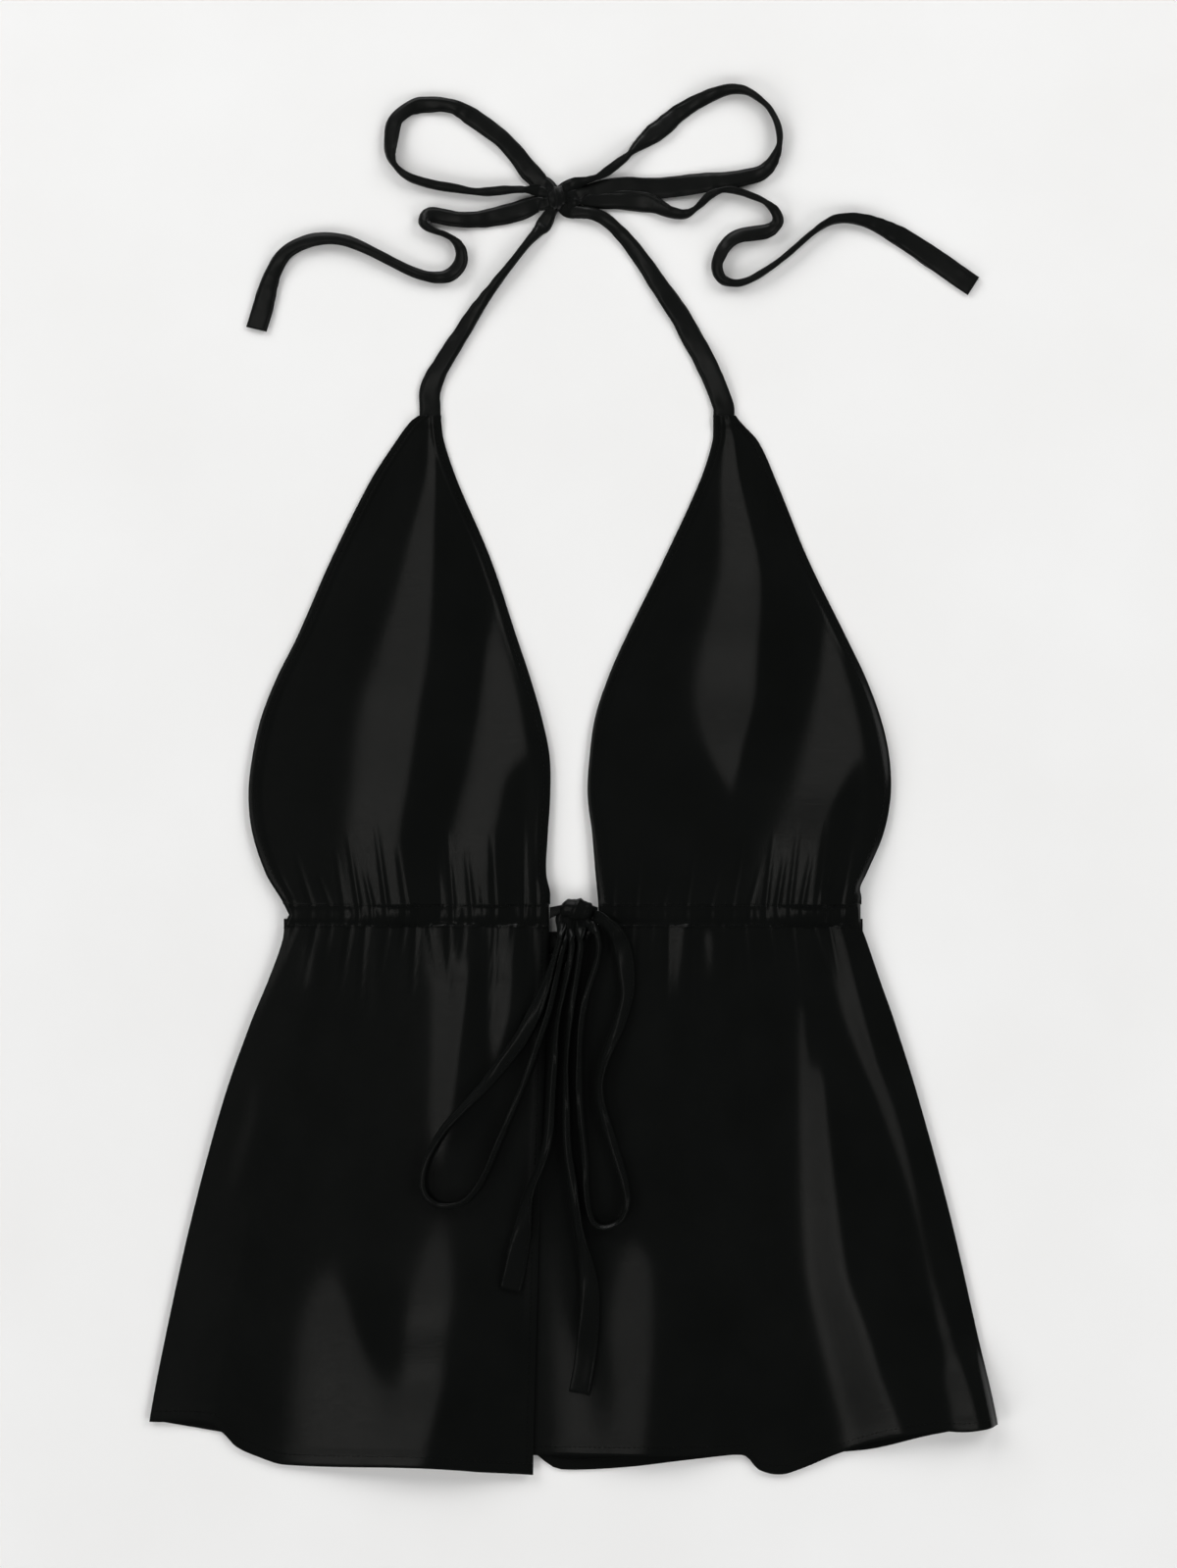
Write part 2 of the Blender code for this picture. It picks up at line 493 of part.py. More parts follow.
def top_of_fronts(x, y):
    """Height of whatever lies under a point of the waist bow."""
    top = 0.0
    for name in FRONTS:
        panel = PANELS[name]
        centre_x = read(panel.edges, "y", "centre_x", y)
        side_x = read(panel.edges, "y", "side_x", y)
        u = (x - centre_x) / (side_x - centre_x)
        if -0.02 <= u <= 1 and y <= WAIST_SEAM:
            u = max(u, 0.0)
            v = (y - panel.seam[0].y) / (read(panel.far_edge, "u", "y", u) - panel.seam[0].y)
            top = max(top, underside(panel, u, min(max(v, 0.0), 1.0)) + CLOTH)
    if WAIST_SEAM - GAP <= y <= WAIST_TOP and (x < CASING_LEFT_MOUTH or x > CASING_RIGHT_MOUTH):
        top = OVER_CASING + CASING_FRONT_THICK
    return top or CASING_BACK_THICK


def spread(distance):
    """0 where a tape is pinched and 1 where it is flat."""
    return smooth(distance / PINCH_LENGTH)


def tape_stations(bends, start_knot, end_knot, on_fronts):
    """Smooth stations along a tie: centre, direction, roll, width and thickness."""
    steps = 2
    points = []
    for i in range(len(bends) - 1):
        around = [bends[max(i - 1, 0)], bends[i], bends[i + 1], bends[min(i + 2, len(bends) - 1)]]
        last = i == len(bends) - 2
        for k in range(steps + (1 if last else 0)):
            t = k / steps
            weights = (-t + 2 * t * t - t ** 3, 2 - 5 * t * t + 3 * t ** 3,
                       t + 4 * t * t - 3 * t ** 3, -t * t + t ** 3)
            points.append([sum(w * row[c] for w, row in zip(weights, around)) / 2 for c in range(3)])
    runs = [0.0]
    for a, b in zip(points, points[1:]):
        runs.append(runs[-1] + math.dist(a[:2], b[:2]))
    stations = []
    for i, (x, y, roll) in enumerate(points):
        ahead, behind = points[min(i + 1, len(points) - 1)], points[max(i - 1, 0)]
        along = Vector((ahead[0] - behind[0], ahead[1] - behind[1], 0)).normalized()
        from_start = spread(runs[i]) if start_knot else 1.0
        from_end = spread(runs[-1] - runs[i]) if end_knot else 1.0
        open_out = from_start * from_end
        width = PINCH_WIDTH + (TAPE_WIDTH - PINCH_WIDTH) * open_out
        thick = PINCH_THICK + (TAPE_THICK - PINCH_THICK) * open_out
        stations.append([Vector((x, y, 0)), along, math.radians(roll), width, thick])
    lay_down(stations, runs, start_knot, end_knot, on_fronts)
    return stations


def lay_down(stations, runs, start_knot, end_knot, on_fronts):
    """Give each station the height of what it lies on, and lift the ends to their knots."""
    beds = []
    for centre, along, roll, width, thick in stations:
        across = Vector((-along.y, along.x, 0))
        half = (width * abs(math.cos(roll)) + thick * abs(math.sin(roll))) / 2 + 1.5
        spots = [centre + across * half * side for side in (-1, 0, 1)]
        beds.append(max(top_of_fronts(spot.x, spot.y) for spot in spots) + GAP if on_fronts else 0.0)
    for i, (centre, along, roll, width, thick) in enumerate(stations):
        around = beds[max(i - 1, 0):i + 2]
        half_height = (width * abs(math.sin(roll)) + thick * abs(math.cos(roll))) / 2
        rest = max(around) + half_height
        for knot, run in ((start_knot, runs[i]), (end_knot, runs[-1] - runs[i])):
            if knot:
                rest += (knot.z - rest) * (1 - smooth(run / KNOT_REACH))
        centre.z = rest


def make_tape(name, bends, material, start=None, end=None, on_fronts=False):
    """A flat tie along its bends, with a free end wherever it has no knot."""
    if start:
        bends = [leave_knot(start, bends[0].roll), leave_knot(start, bends[0].roll, KNOT_LEAD)] + bends
    if end:
        bends = bends + [leave_knot(end, bends[-1].roll, KNOT_LEAD), leave_knot(end, bends[-1].roll)]
    stations = tape_stations(bends, start and start.knot, end and end.knot, on_fronts)
    bm = bmesh.new()
    rings = []
    for centre, along, roll, width, thick in stations:
        level = Vector((-along.y, along.x, 0))
        across = level * math.cos(roll) + Vector((0, 0, 1)) * math.sin(roll)
        normal = along.cross(across)
        corners = ((-1, -1), (1, -1), (1, 1), (-1, 1))
        rings.append([bm.verts.new((centre + across * (width / 2 * a) + normal * (thick / 2 * b)) * MM)
                      for a, b in corners])
    for ring_a, ring_b in zip(rings, rings[1:]):
        for k in range(4):
            bm.faces.new((ring_a[k], ring_a[(k + 1) % 4], ring_b[(k + 1) % 4], ring_b[k]))
    bm.faces.new(rings[0])
    bm.faces.new(rings[-1])
    return finish(name, bm, material)


def make_feed(name, casing_x, knot, angle, material):
    """The short stretch of drawstring between the casing's mouth and the knot."""
    at_knot = leave_knot(Exit(knot, angle), 0)
    mouth = Vector((casing_x, WAIST_TOP - CASING_DEPTH / 2 + 1.0, OVER_CASING + CASING_FRONT_THICK / 2))
    inner = Vector((at_knot.x, at_knot.y, knot.z))
    bm = bmesh.new()
    rings = []
    for t, tall in ((0.0, 7.0), (0.5, 5.4), (1.0, 4.2)):
        centre = mouth.lerp(inner, t)
        rings.append([bm.verts.new((centre + Vector((0, tall / 2 * a, PINCH_THICK / 2 * b))) * MM)
                      for a, b in ((-1, -1), (1, -1), (1, 1), (-1, 1))])
    for ring_a, ring_b in zip(rings, rings[1:]):
        for k in range(4):
            bm.faces.new((ring_a[k], ring_a[(k + 1) % 4], ring_b[(k + 1) % 4], ring_b[k]))
    bm.faces.new(rings[0])
    bm.faces.new(rings[-1])
    return finish(name, bm, material)


# ---------------------------------------------------------------- materials and assembly
def cloth_material(name, colour, roughness):
    """A plain cloth finish."""
    material = bpy.data.materials.new(name)
    material.use_nodes = True
    shader = material.node_tree.nodes["Principled BSDF"]
    shader.inputs["Base Color"].default_value = (*colour, 1)
    shader.inputs["Roughness"].default_value = roughness
    shader.inputs["Metallic"].default_value = 0.0
    return material


def main():
    for leftover in list(bpy.data.objects):
        bpy.data.objects.remove(leftover)
    satin = cloth_material("black satin", (0.006, 0.006, 0.006), 0.42)
    gathered = cloth_material("gathered black satin", (0.005, 0.005, 0.005), 0.48)
    tape = cloth_material("black satin tape", (0.007, 0.007, 0.007), 0.4)

    for name in PANELS:
        make_panel(name, satin)

    make_casing("casing_front_left", CASING_LEFT_MOUTH, -WAIST_HALF, front_waist, OVER_CASING,
                CASING_FRONT_THICK, 17, gathered, pinch=CASING_LEFT_PINCH)
    make_casing("casing_front_right", CASING_RIGHT_MOUTH, CASING_RIGHT_END, front_waist, OVER_CASING,
                CASING_FRONT_THICK, 17, gathered)
    make_casing("casing_back", -WAIST_HALF, WAIST_HALF, back_waist, 0.0, CASING_BACK_THICK, 20, gathered)

    make_knot("neck_knot", NECK_KNOT, tape)
    make_tape("strap_left", STRAP_LEFT, tape, end=Exit(NECK_KNOT, 245))
    make_tape("strap_right", STRAP_RIGHT, tape, end=Exit(NECK_KNOT, 315))
    make_tape("neck_loop_left", NECK_LOOP_LEFT, tape, start=Exit(NECK_KNOT, 125), end=Exit(NECK_KNOT, 160))
    make_tape("neck_loop_right", NECK_LOOP_RIGHT, tape, start=Exit(NECK_KNOT, 43), end=Exit(NECK_KNOT, 11))
    make_tape("neck_tail_left", NECK_TAIL_LEFT, tape, start=Exit(NECK_KNOT, 197))
    make_tape("neck_tail_right", NECK_TAIL_RIGHT, tape, start=Exit(NECK_KNOT, 340))

    make_knot("waist_knot", WAIST_KNOT, tape)
    make_feed("waist_feed_left", CASING_LEFT_MOUTH + GAP, WAIST_KNOT, 160, tape)
    make_feed("waist_feed_right", CASING_RIGHT_MOUTH - GAP, WAIST_KNOT, 25, tape)
    make_tape("waist_loop_left", WAIST_LOOP_LEFT, tape, start=Exit(WAIST_KNOT, 212),
              end=Exit(WAIST_KNOT, 236), on_fronts=True)
    make_tape("waist_loop_right", WAIST_LOOP_RIGHT, tape, start=Exit(WAIST_KNOT, 326),
              end=Exit(WAIST_KNOT, 302), on_fronts=True)
    make_tape("waist_tail_long", WAIST_TAIL_LONG, tape, start=Exit(WAIST_KNOT, 280), on_fronts=True)
    make_tape("waist_tail_short", WAIST_TAIL_SHORT, tape, start=Exit(WAIST_KNOT, 255), on_fronts=True)


main()
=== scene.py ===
# %% [markdown]
# # A black satin halter neck top, laid flat
# This lesson dresses a plain model of a halter neck top: two gathered bibs, a drawstring waist, a split
# peplum, and flat ties in two bows. The plain model gives every piece its place. Each cell below makes one
# piece or one finish and prints what it made, so that the file can be read and run from top to bottom.

# %% Load the plain model
import math
from collections import namedtuple

import bmesh
import bpy
import numpy as np
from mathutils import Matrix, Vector


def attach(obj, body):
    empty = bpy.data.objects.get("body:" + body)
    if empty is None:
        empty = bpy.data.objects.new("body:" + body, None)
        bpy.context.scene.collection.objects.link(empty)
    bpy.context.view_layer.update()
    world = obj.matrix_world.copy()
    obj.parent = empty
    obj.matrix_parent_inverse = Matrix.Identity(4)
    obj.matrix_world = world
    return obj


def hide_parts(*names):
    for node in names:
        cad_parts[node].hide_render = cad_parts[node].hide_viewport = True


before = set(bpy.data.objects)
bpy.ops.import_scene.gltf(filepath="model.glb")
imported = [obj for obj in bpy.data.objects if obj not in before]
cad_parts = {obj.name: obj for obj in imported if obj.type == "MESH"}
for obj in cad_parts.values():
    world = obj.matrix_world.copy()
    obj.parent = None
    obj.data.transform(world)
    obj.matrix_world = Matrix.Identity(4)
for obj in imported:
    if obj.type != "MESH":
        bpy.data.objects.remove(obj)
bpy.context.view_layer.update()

MM = 0.001                  # metres in a millimetre: tables are in millimetres, meshes in metres


def put_in_scene(name, data):
    """A new object around a mesh, a lamp, a camera or a curve."""
    thing = bpy.data.objects.new(name, data)
    bpy.context.scene.collection.objects.link(thing)
    return thing


# %% [markdown]
# ## The camera
# The top is seen from straight above, as a shop shows it. A long lens from 2.4 m up keeps the edges of the
# picture as straight as its middle. The lens length follows from how much of the table is in the view.

# %% Camera
CAMERA_PLACE = (0.0093, 0.0984, 2.4)
VIEW_HEIGHT = 0.9594        # metres of table from the bottom of the view to its top
SENSOR = 36.0               # millimetres, the width of a full-frame sensor

camera_data = bpy.data.cameras.new("camera")
camera_data.sensor_width = SENSOR
camera_data.lens = SENSOR * CAMERA_PLACE[2] / VIEW_HEIGHT
camera = put_in_scene("camera", camera_data)
camera.location = CAMERA_PLACE
bpy.context.scene.camera = camera
print("lens in millimetres:", round(camera_data.lens, 2))

# %% [markdown]
# ## Colours
# A colour picker gives sRGB numbers, but a shader needs linear ones. One small function turns the usual
# six-digit colour into what the shader reads, and every material and light below uses it.


# %% Colours
def colour(hex_code):
    """A six-digit sRGB colour as linear red, green, blue and alpha."""
    parts = [int(hex_code[i:i + 2], 16) / 255 for i in (1, 3, 5)]
    linear = [part / 12.92 if part <= 0.04045 else ((part + 0.055) / 1.055) ** 2.4 for part in parts]
    return (*linear, 1.0)


print("black satin in linear colour:", [round(part, 4) for part in colour("#101110")[:3]])

# %% [markdown]
# ## Light and floor
# Satin is read by its highlights. One soft key light stands high on the left, about 20 degrees from straight
# up, so that only cloth that tilts towards it shines. It is a sun lamp, which meets every part of the table
# at the same angle. Wide lamps around the table light the pale floor evenly and leave no glints, and one
# low window beyond the neck puts a thin edge of light on whatever curls up. The view has no film curve,
# because a film curve would turn the deep blacks grey.

# %% Light and floor
FLOOR_HALF = 3.0            # metres from the middle of the floor to its edges
FLOOR_LEVEL = -0.0005       # a hair under the cloth, so that the two never flicker
TABLE_MIDDLE = (0.0, 0.05, 0.0)
KEY_LEAN = (-0.35, -0.04)   # how far the key light stands aside for each metre up


def add_lamp(name, place, size, watts, tint, shines):
    """A square soft lamp that faces the table. One that doesn't shine lights matt surfaces alone."""
    data = bpy.data.lights.new(name, "AREA")
    data.size = size
    data.energy = watts
    data.color = colour(tint)[:3]
    lamp = put_in_scene(name, data)
    lamp.location = place
    lamp.rotation_euler = (Vector(TABLE_MIDDLE) - Vector(place)).to_track_quat("-Z", "Y").to_euler()
    lamp.visible_glossy = shines


key_data = bpy.data.lights.new("key light", "SUN")
key_data.energy = 0.125
key_data.angle = math.radians(10)
key_data.color = colour("#FFFDF8")[:3]
key_light = put_in_scene("key light", key_data)
key_light.rotation_euler = Vector((*KEY_LEAN, 1)).to_track_quat("Z", "Y").to_euler()
for number, (x, y) in enumerate(((2.0, 1.7), (-2.0, 1.8), (2.1, -1.6), (-2.1, -1.6))):
    add_lamp(f"fill lamp {number}", (x, y, 1.6), 1.6, 42.0, "#FDFDFF", False)
add_lamp("window", (-0.5, 2.6, 1.3), 1.2, 14.0, "#FFFFFF", True)
bpy.context.scene.view_settings.view_transform = "Standard"

world = bpy.data.worlds.new("studio air")
world.use_nodes = True
air = world.node_tree.nodes["Background"]
air.inputs["Color"].default_value = colour("#E8EBEE")
air.inputs["Strength"].default_value = 0.06
bpy.context.scene.world = world

floor_mesh = bpy.data.meshes.new("floor")
corners = [(x * FLOOR_HALF, y * FLOOR_HALF, FLOOR_LEVEL) for x, y in ((-1, -1), (1, -1), (1, 1), (-1, 1))]
floor_mesh.from_pydata(corners, [], [(0, 1, 2, 3)])
floor = put_in_scene("floor", floor_mesh)

# %% [markdown]
# ## Building a material from nodes
# Every finish below is a short chain of nodes. One helper adds a node, sets its sockets and joins its
# inputs. Another starts a material with its shader, and its fixed numbers go straight onto the shader. The
# last one gives the shader what the chain worked out: a colour, a gloss and a relief.


# %% Node helpers
MIX_DARK, MIX_LIGHT, MIX_RESULT = 6, 7, 2    # a Mix node's two colours and its blend, by number
LEAST, MOST = 3, 4                           # the two ends of what a Map Range node gives
WAVE_STEP = 20.0                             # a Wave texture multiplies its scale by this


def add_node(tree, kind, values=None, links=None, **settings):
    """Add one node: settings on the node, values on its input sockets, links from other nodes' outputs."""
    node = tree.nodes.new(kind)
    for key, value in settings.items():
        setattr(node, key, value)
    for socket, value in (values or {}).items():
        node.inputs[socket].default_value = value
    for socket, source in (links or {}).items():
        tree.links.new(source, node.inputs[socket])
    return node


def new_material(name, **fixed):
    """A material with one shader, and the shader's numbers that are the same all over."""
    material = bpy.data.materials.new(name)
    material.use_nodes = True
    shader = material.node_tree.nodes["Principled BSDF"]
    for socket, value in fixed.items():
        shader.inputs[socket.replace("_", " ")].default_value = value
    return material, material.node_tree, shader


def finish_shader(tree, shader, tone, gloss, bump):
    """Join a colour mix, a gloss and a relief to a shader."""
    tree.links.new(tone.outputs[MIX_RESULT], shader.inputs["Base Color"])
    tree.links.new(gloss.outputs[0], shader.inputs["Roughness"])
    tree.links.new(bump.outputs[0], shader.inputs["Normal"])


def band_scale(period_mm):
    """The scale at which a Wave texture repeats once in a period of millimetres."""
    return 2 * math.pi / (WAVE_STEP * period_mm * MM)


print("a 0.4 mm weave needs a wave scale of", round(band_scale(0.4)))

# %% [markdown]
# ## The black satin
# Polyester satin is woven so that long threads lie on its face, here from side to side. They are round, so
# the sheen spreads up and down the cloth, and it stays crisp from side to side, where only the gloss of
# the threads spreads it. The cloth's own map, in metres, carries 0.3 mm yarns and the faint streaks of
# uneven thread. A slow cloudiness changes the black and the gloss a little, because no dyed cloth is even.
# The map is used and not the object's own coordinates, so that the threads follow the cloth over its folds.
# The gathered casings and the tapes are the same cloth: drawn up, it is duller, and pressed, duller still.
# The pressed tape of the neck ties also has a slightly lighter black, which is painted sheen.


# %% Satin material
SPECULAR = 0.20             # satin's mirror share, straight on
STREAK_STRETCH = 0.07       # a streak's width as a share of its length
YARN_SHARE = 0.35           # how much of the relief the yarns make, beside the streaks


def satin(name, dark, light, roughness, yarn_mm, specular=SPECULAR):
    """A satin finish: yarns and streaks as relief, slow clouds in colour and gloss."""
    material, tree, shader = new_material(name, Specular_IOR_Level=specular)
    cloth_map = add_node(tree, "ShaderNodeUVMap", uv_map="cloth")
    over_cloth = {"Vector": cloth_map.outputs[0]}
    stretched = add_node(tree, "ShaderNodeMapping", {"Scale": (STREAK_STRETCH, 1.0, 1.0)}, over_cloth)
    yarns = add_node(tree, "ShaderNodeTexWave",
                     {"Scale": band_scale(yarn_mm), "Distortion": 0.6, "Detail": 1.0},
                     over_cloth, bands_direction="Y")
    streaks = add_node(tree, "ShaderNodeTexNoise", {"Scale": 900.0, "Detail": 2.0},
                       {"Vector": stretched.outputs[0]})
    relief = add_node(tree, "ShaderNodeMath", {1: YARN_SHARE},
                      {0: yarns.outputs["Fac"], 2: streaks.outputs["Fac"]}, operation="MULTIPLY_ADD")
    bump = add_node(tree, "ShaderNodeBump", {"Strength": 0.38, "Distance": 0.00008},
                    {"Height": relief.outputs[0]})
    clouds = add_node(tree, "ShaderNodeTexNoise", {"Scale": 22.0, "Detail": 3.0}, over_cloth)
    tone = add_node(tree, "ShaderNodeMix", {MIX_DARK: colour(dark), MIX_LIGHT: colour(light)},
                    {0: clouds.outputs["Fac"]}, data_type="RGBA")
    gloss = add_node(tree, "ShaderNodeMapRange", {LEAST: roughness - 0.03, MOST: roughness + 0.04},
                     {0: streaks.outputs["Fac"]})
    finish_shader(tree, shader, tone, gloss, bump)
    return material


black_satin = satin("black satin", "#080908", "#0F100F", 0.20, 0.30)
gathered_satin = satin("black satin, gathered", "#080908", "#0E0F0E", 0.22, 0.30)
satin_tape = satin("black satin tape", "#080908", "#101110", 0.23, 0.26)
# the pressed tape's lighter black is painted sheen, for the light that the neck bow catches
pressed_tape_painted_sheen = satin("black satin tape, pressed, painted sheen", "#0B0C0B", "#141514", 0.30, 0.26, specular=0.28)
print("satin finishes:", black_satin.name, "/", gathered_satin.name, "/", satin_tape.name, "/",
      pressed_tape_painted_sheen.name)

# %% [markdown]
# ## Thread and floor
# Sewing thread is a touch lighter than the cloth and twisted, so its finish has fine slanted ridges that
# read the object's own coordinates: a stitch is too small to need a map. The floor is a plain pale board,
# with a grain so weak that it only keeps the light from looking dead flat.

# %% Thread and floor materials
thread, tree, shader = new_material("black polyester thread", Specular_IOR_Level=0.18)
own_map = add_node(tree, "ShaderNodeTexCoord")
twist = add_node(tree, "ShaderNodeTexWave", {"Scale": band_scale(0.5), "Distortion": 0.5},
                 {"Vector": own_map.outputs["Object"]}, bands_direction="DIAGONAL")
by_twist = {0: twist.outputs["Fac"]}
thread_tone = add_node(tree, "ShaderNodeMix", {MIX_DARK: colour("#080908"), MIX_LIGHT: colour("#131413")},
                       by_twist, data_type="RGBA")
thread_bump = add_node(tree, "ShaderNodeBump", {"Strength": 0.5, "Distance": 0.00005},
                       {"Height": twist.outputs["Fac"]})
thread_gloss = add_node(tree, "ShaderNodeMapRange", {LEAST: 0.42, MOST: 0.55}, by_twist)
finish_shader(tree, shader, thread_tone, thread_gloss, thread_bump)

board, tree, shader = new_material("pale board", Roughness=0.9, Specular_IOR_Level=0.1)
own_map = add_node(tree, "ShaderNodeTexCoord")
grain = add_node(tree, "ShaderNodeTexNoise", {"Scale": 7.0, "Detail": 3.0},
                 {"Vector": own_map.outputs["Object"]})
board_tone = add_node(tree, "ShaderNodeMix", {MIX_DARK: colour("#ECEBE8"), MIX_LIGHT: colour("#F4F4F2")},
                      {0: grain.outputs["Fac"]}, data_type="RGBA")
tree.links.new(board_tone.outputs[MIX_RESULT], shader.inputs["Base Color"])
floor_mesh.materials.append(board)
print("materials:", len(bpy.data.materials))

# %% [markdown]
# ## Smooth curves through short tables
# Outlines are kept as short tables: a few places along the cloth and where its edges are there. A Hermite
# curve runs smoothly through the rows and never swings wide, which a plain polynomial would. It works on
# whole arrays at once, so a panel of many thousand points takes no time.


# %% Curves through tables
def smooth(t):
    """0 to 1 with level ends."""
    t = np.clip(t, 0.0, 1.0)
    return t * t * (3 - 2 * t)


def curve(rows, at, column=1):
    """A column of a table, at any places along its first column."""
    rows = sorted(rows)
    keys = np.array([row[0] for row in rows], float)
    values = np.array([row[column] for row in rows], float)
    order = np.arange(len(rows))
    low, high = np.maximum(order - 1, 0), np.minimum(order + 1, len(rows) - 1)
    slopes = (values[high] - values[low]) / (keys[high] - keys[low])
    at = np.asarray(at, float)
    i = np.clip(np.searchsorted(keys, at, side="left") - 1, 0, len(rows) - 2)
    span = keys[i + 1] - keys[i]
    t = np.clip((at - keys[i]) / span, 0, 1)
    return (values[i] * (1 + 2 * t) * (1 - t) ** 2 + slopes[i] * span * t * (1 - t) ** 2
            + values[i + 1] * t * t * (3 - 2 * t) - slopes[i + 1] * span * t * t * (1 - t))


print("half way up an even ramp:", float(curve([(0, 0), (1, 10)], 0.5)))

# %% [markdown]
# ## The flat ties
# The neck ties and the waist drawstring are tapes of the same satin: a strip folded in, pressed to 13 mm and
# stitched along one edge. They don't lie flat. They were tied while they hung, so they roll on to their
# edges, and their width as seen from above changes all the way. Each tie is a table of bends: x, y and
# the roll in degrees, where 0 lies flat and 90 stands on its edge. A section swept along those bends with
# its own roll shows that, while a curve's bevel would turn on its own.

# %% Sizes of the ties
WAIST_TOP, WAIST_SEAM = 25.5, 11.7      # the upper and lower edge of the front casings
CASING_DEPTH = WAIST_TOP - WAIST_SEAM
CLOTH, GAP = 1.3, 0.3       # the plain model's wall, and its clearance between layers
CASING_BACK_THICK, CASING_FRONT_THICK = 3.0, 3.3
OVER_BACK, OVER_CASING = CLOTH + GAP, CASING_BACK_THICK + GAP
CASING_LEFT_MOUTH, CASING_RIGHT_MOUTH = -14.7, 15.3
TAPE_WIDTH, TAPE_THICK = 13.0, 1.6
PINCH_WIDTH, PINCH_THICK, PINCH_LENGTH = 6.5, 2.2, 18.0
SLANT_AT_KNOT = 42.0        # the roll in degrees of a tie where it is squeezed
KNOT_REACH, KNOT_GAP, KNOT_LEAD = 9.0, -1.6, 3.0     # a tie starts 1.6 mm inside its knot
BIB_TOP = 323.7
Knot = namedtuple("Knot", "x y z half_x half_y half_z")
NECK_KNOT = Knot(-9.9, 456.3, 5.6, 5.8, 7.8, 5.2)
WAIST_KNOT = Knot(2.1, 21.9, 8.0, 8.5, 6.0, 5.2)
print("tape:", TAPE_WIDTH, "mm wide and", TAPE_THICK, "mm thick")

# %% Routes of the neck ties: x, y, roll
STRAP_LEFT = [
    (-87.7, 321.5, 0), (-87.6, BIB_TOP + GAP, 0), (-87.6, 330.5, 10), (-87.3, 335.5, 27),
    (-85.7, 341.5, 43), (-82.5, 348.5, 53), (-78.5, 355.5, 59), (-74, 362.7, 61), (-69.5, 370, 63),
    (-65, 377, 66), (-60.5, 384.2, 70), (-55.5, 391.5, 75), (-50.3, 398.7, 80), (-45, 405.8, 83),
    (-39.5, 413, 85), (-34, 420, 86), (-28.5, 427, 85), (-24, 432, 82), (-20.5, 435.7, 77),
    (-17.3, 439.5, 66)]
STRAP_RIGHT = [
    (92.2, 321.5, 0), (92.1, BIB_TOP + GAP, 0), (92, 328.5, 7), (90.3, 334.5, 18), (88, 341.5, 28),
    (85.3, 348.5, 35), (82, 355.7, 38), (78.5, 363, 39), (74.5, 370, 42), (70.8, 377.2, 46),
    (67, 384.5, 50), (62.5, 391.5, 53), (57.7, 398.5, 56), (52.7, 405.7, 60), (48, 413, 63), (43, 420, 66),
    (38, 427, 68), (34, 431.7, 70), (30.5, 435.7, 72), (27, 439.3, 74), (23, 443, 74), (18.5, 446.2, 74),
    (12, 448.7, 75), (3.5, 449.7, 76)]
NECK_LOOP_LEFT = [
    (-19.5, 467, 40), (-24, 472, 50), (-28.5, 477.5, 56), (-34.5, 485.5, 60), (-42.5, 494, 62),
    (-51, 500.5, 59), (-59.5, 506.5, 58), (-65.5, 510.5, 64), (-71.5, 513.7, 70), (-77, 515, 70),
    (-82.5, 515.7, 69), (-89, 515.5, 66), (-95, 515, 65), (-101, 512.8, 70), (-106.5, 509, 72),
    (-110, 505, 70), (-111.8, 500, 67), (-112.7, 492.5, 69), (-113, 485.5, 75), (-112, 480.5, 82),
    (-109, 475.5, 90), (-104.5, 471, 94), (-97, 467, 96), (-84.5, 463.5, 97), (-70.5, 461.3, 96),
    (-62, 460, 93), (-53, 459.5, 96), (-44.5, 460.2, 97), (-36, 461, 94), (-28, 461, 92), (-22, 460.5, 92)]
NECK_LOOP_RIGHT = [
    (11, 467.5, 88), (19, 470.7, 96), (24, 474, 97), (28.5, 477.5, 96), (32.8, 481, 93), (38, 486, 82),
    (44.5, 491, 66), (51, 496, 52), (57, 500.5, 52), (63, 506, 60), (69.5, 510.5, 65), (76.5, 514.5, 69),
    (84.5, 518.3, 73), (91.5, 521, 77), (99, 522.3, 80), (106.5, 521, 85), (113, 517, 88), (118.5, 512, 90),
    (122, 506.5, 91), (124.3, 500.5, 92), (125.3, 494, 92), (124.7, 488.5, 89), (122.5, 483.3, 82),
    (119.3, 478, 75), (114, 473.5, 68), (104.5, 470.8, 64), (95, 469.3, 63), (87, 468.5, 59),
    (79.5, 467.3, 50), (71.5, 466, 42), (62, 464.7, 38), (52, 463.7, 36), (42.5, 463.5, 30),
    (34, 463.8, 26), (26.5, 463.5, 32), (19, 462.7, 42), (11, 461.3, 56), (3, 460, 65)]
NECK_TAIL_LEFT = [
    (-21.5, 454, 40), (-27.5, 452.3, 48), (-34, 450.3, 52), (-42, 448.2, 54), (-50, 446.5, 58),
    (-58.5, 445.3, 64), (-68.5, 445.2, 68), (-77, 446.4, 66), (-86, 448, 66), (-91, 446.5, 73),
    (-93.2, 442, 82), (-90.5, 438.5, 85), (-85.5, 436, 88), (-79.5, 434, 90), (-74.5, 431.2, 88),
    (-71, 427, 81), (-69.6, 421.8, 75), (-71, 416, 71), (-75.5, 411.5, 72), (-81.5, 409.7, 76),
    (-90, 410.5, 80), (-98.5, 413.3, 80), (-107, 417.3, 81), (-115.5, 421.7, 81), (-124, 426, 80),
    (-133, 430.2, 78), (-140.5, 432.5, 77), (-149, 433.5, 75), (-157.5, 433, 73), (-165.5, 430.8, 72),
    (-172, 427.7, 71), (-177, 424, 70), (-181.3, 418.7, 68), (-184.5, 412.5, 66), (-187.3, 405, 60),
    (-189.5, 396.5, 51), (-191.5, 387, 36), (-194, 376.5, 16)]
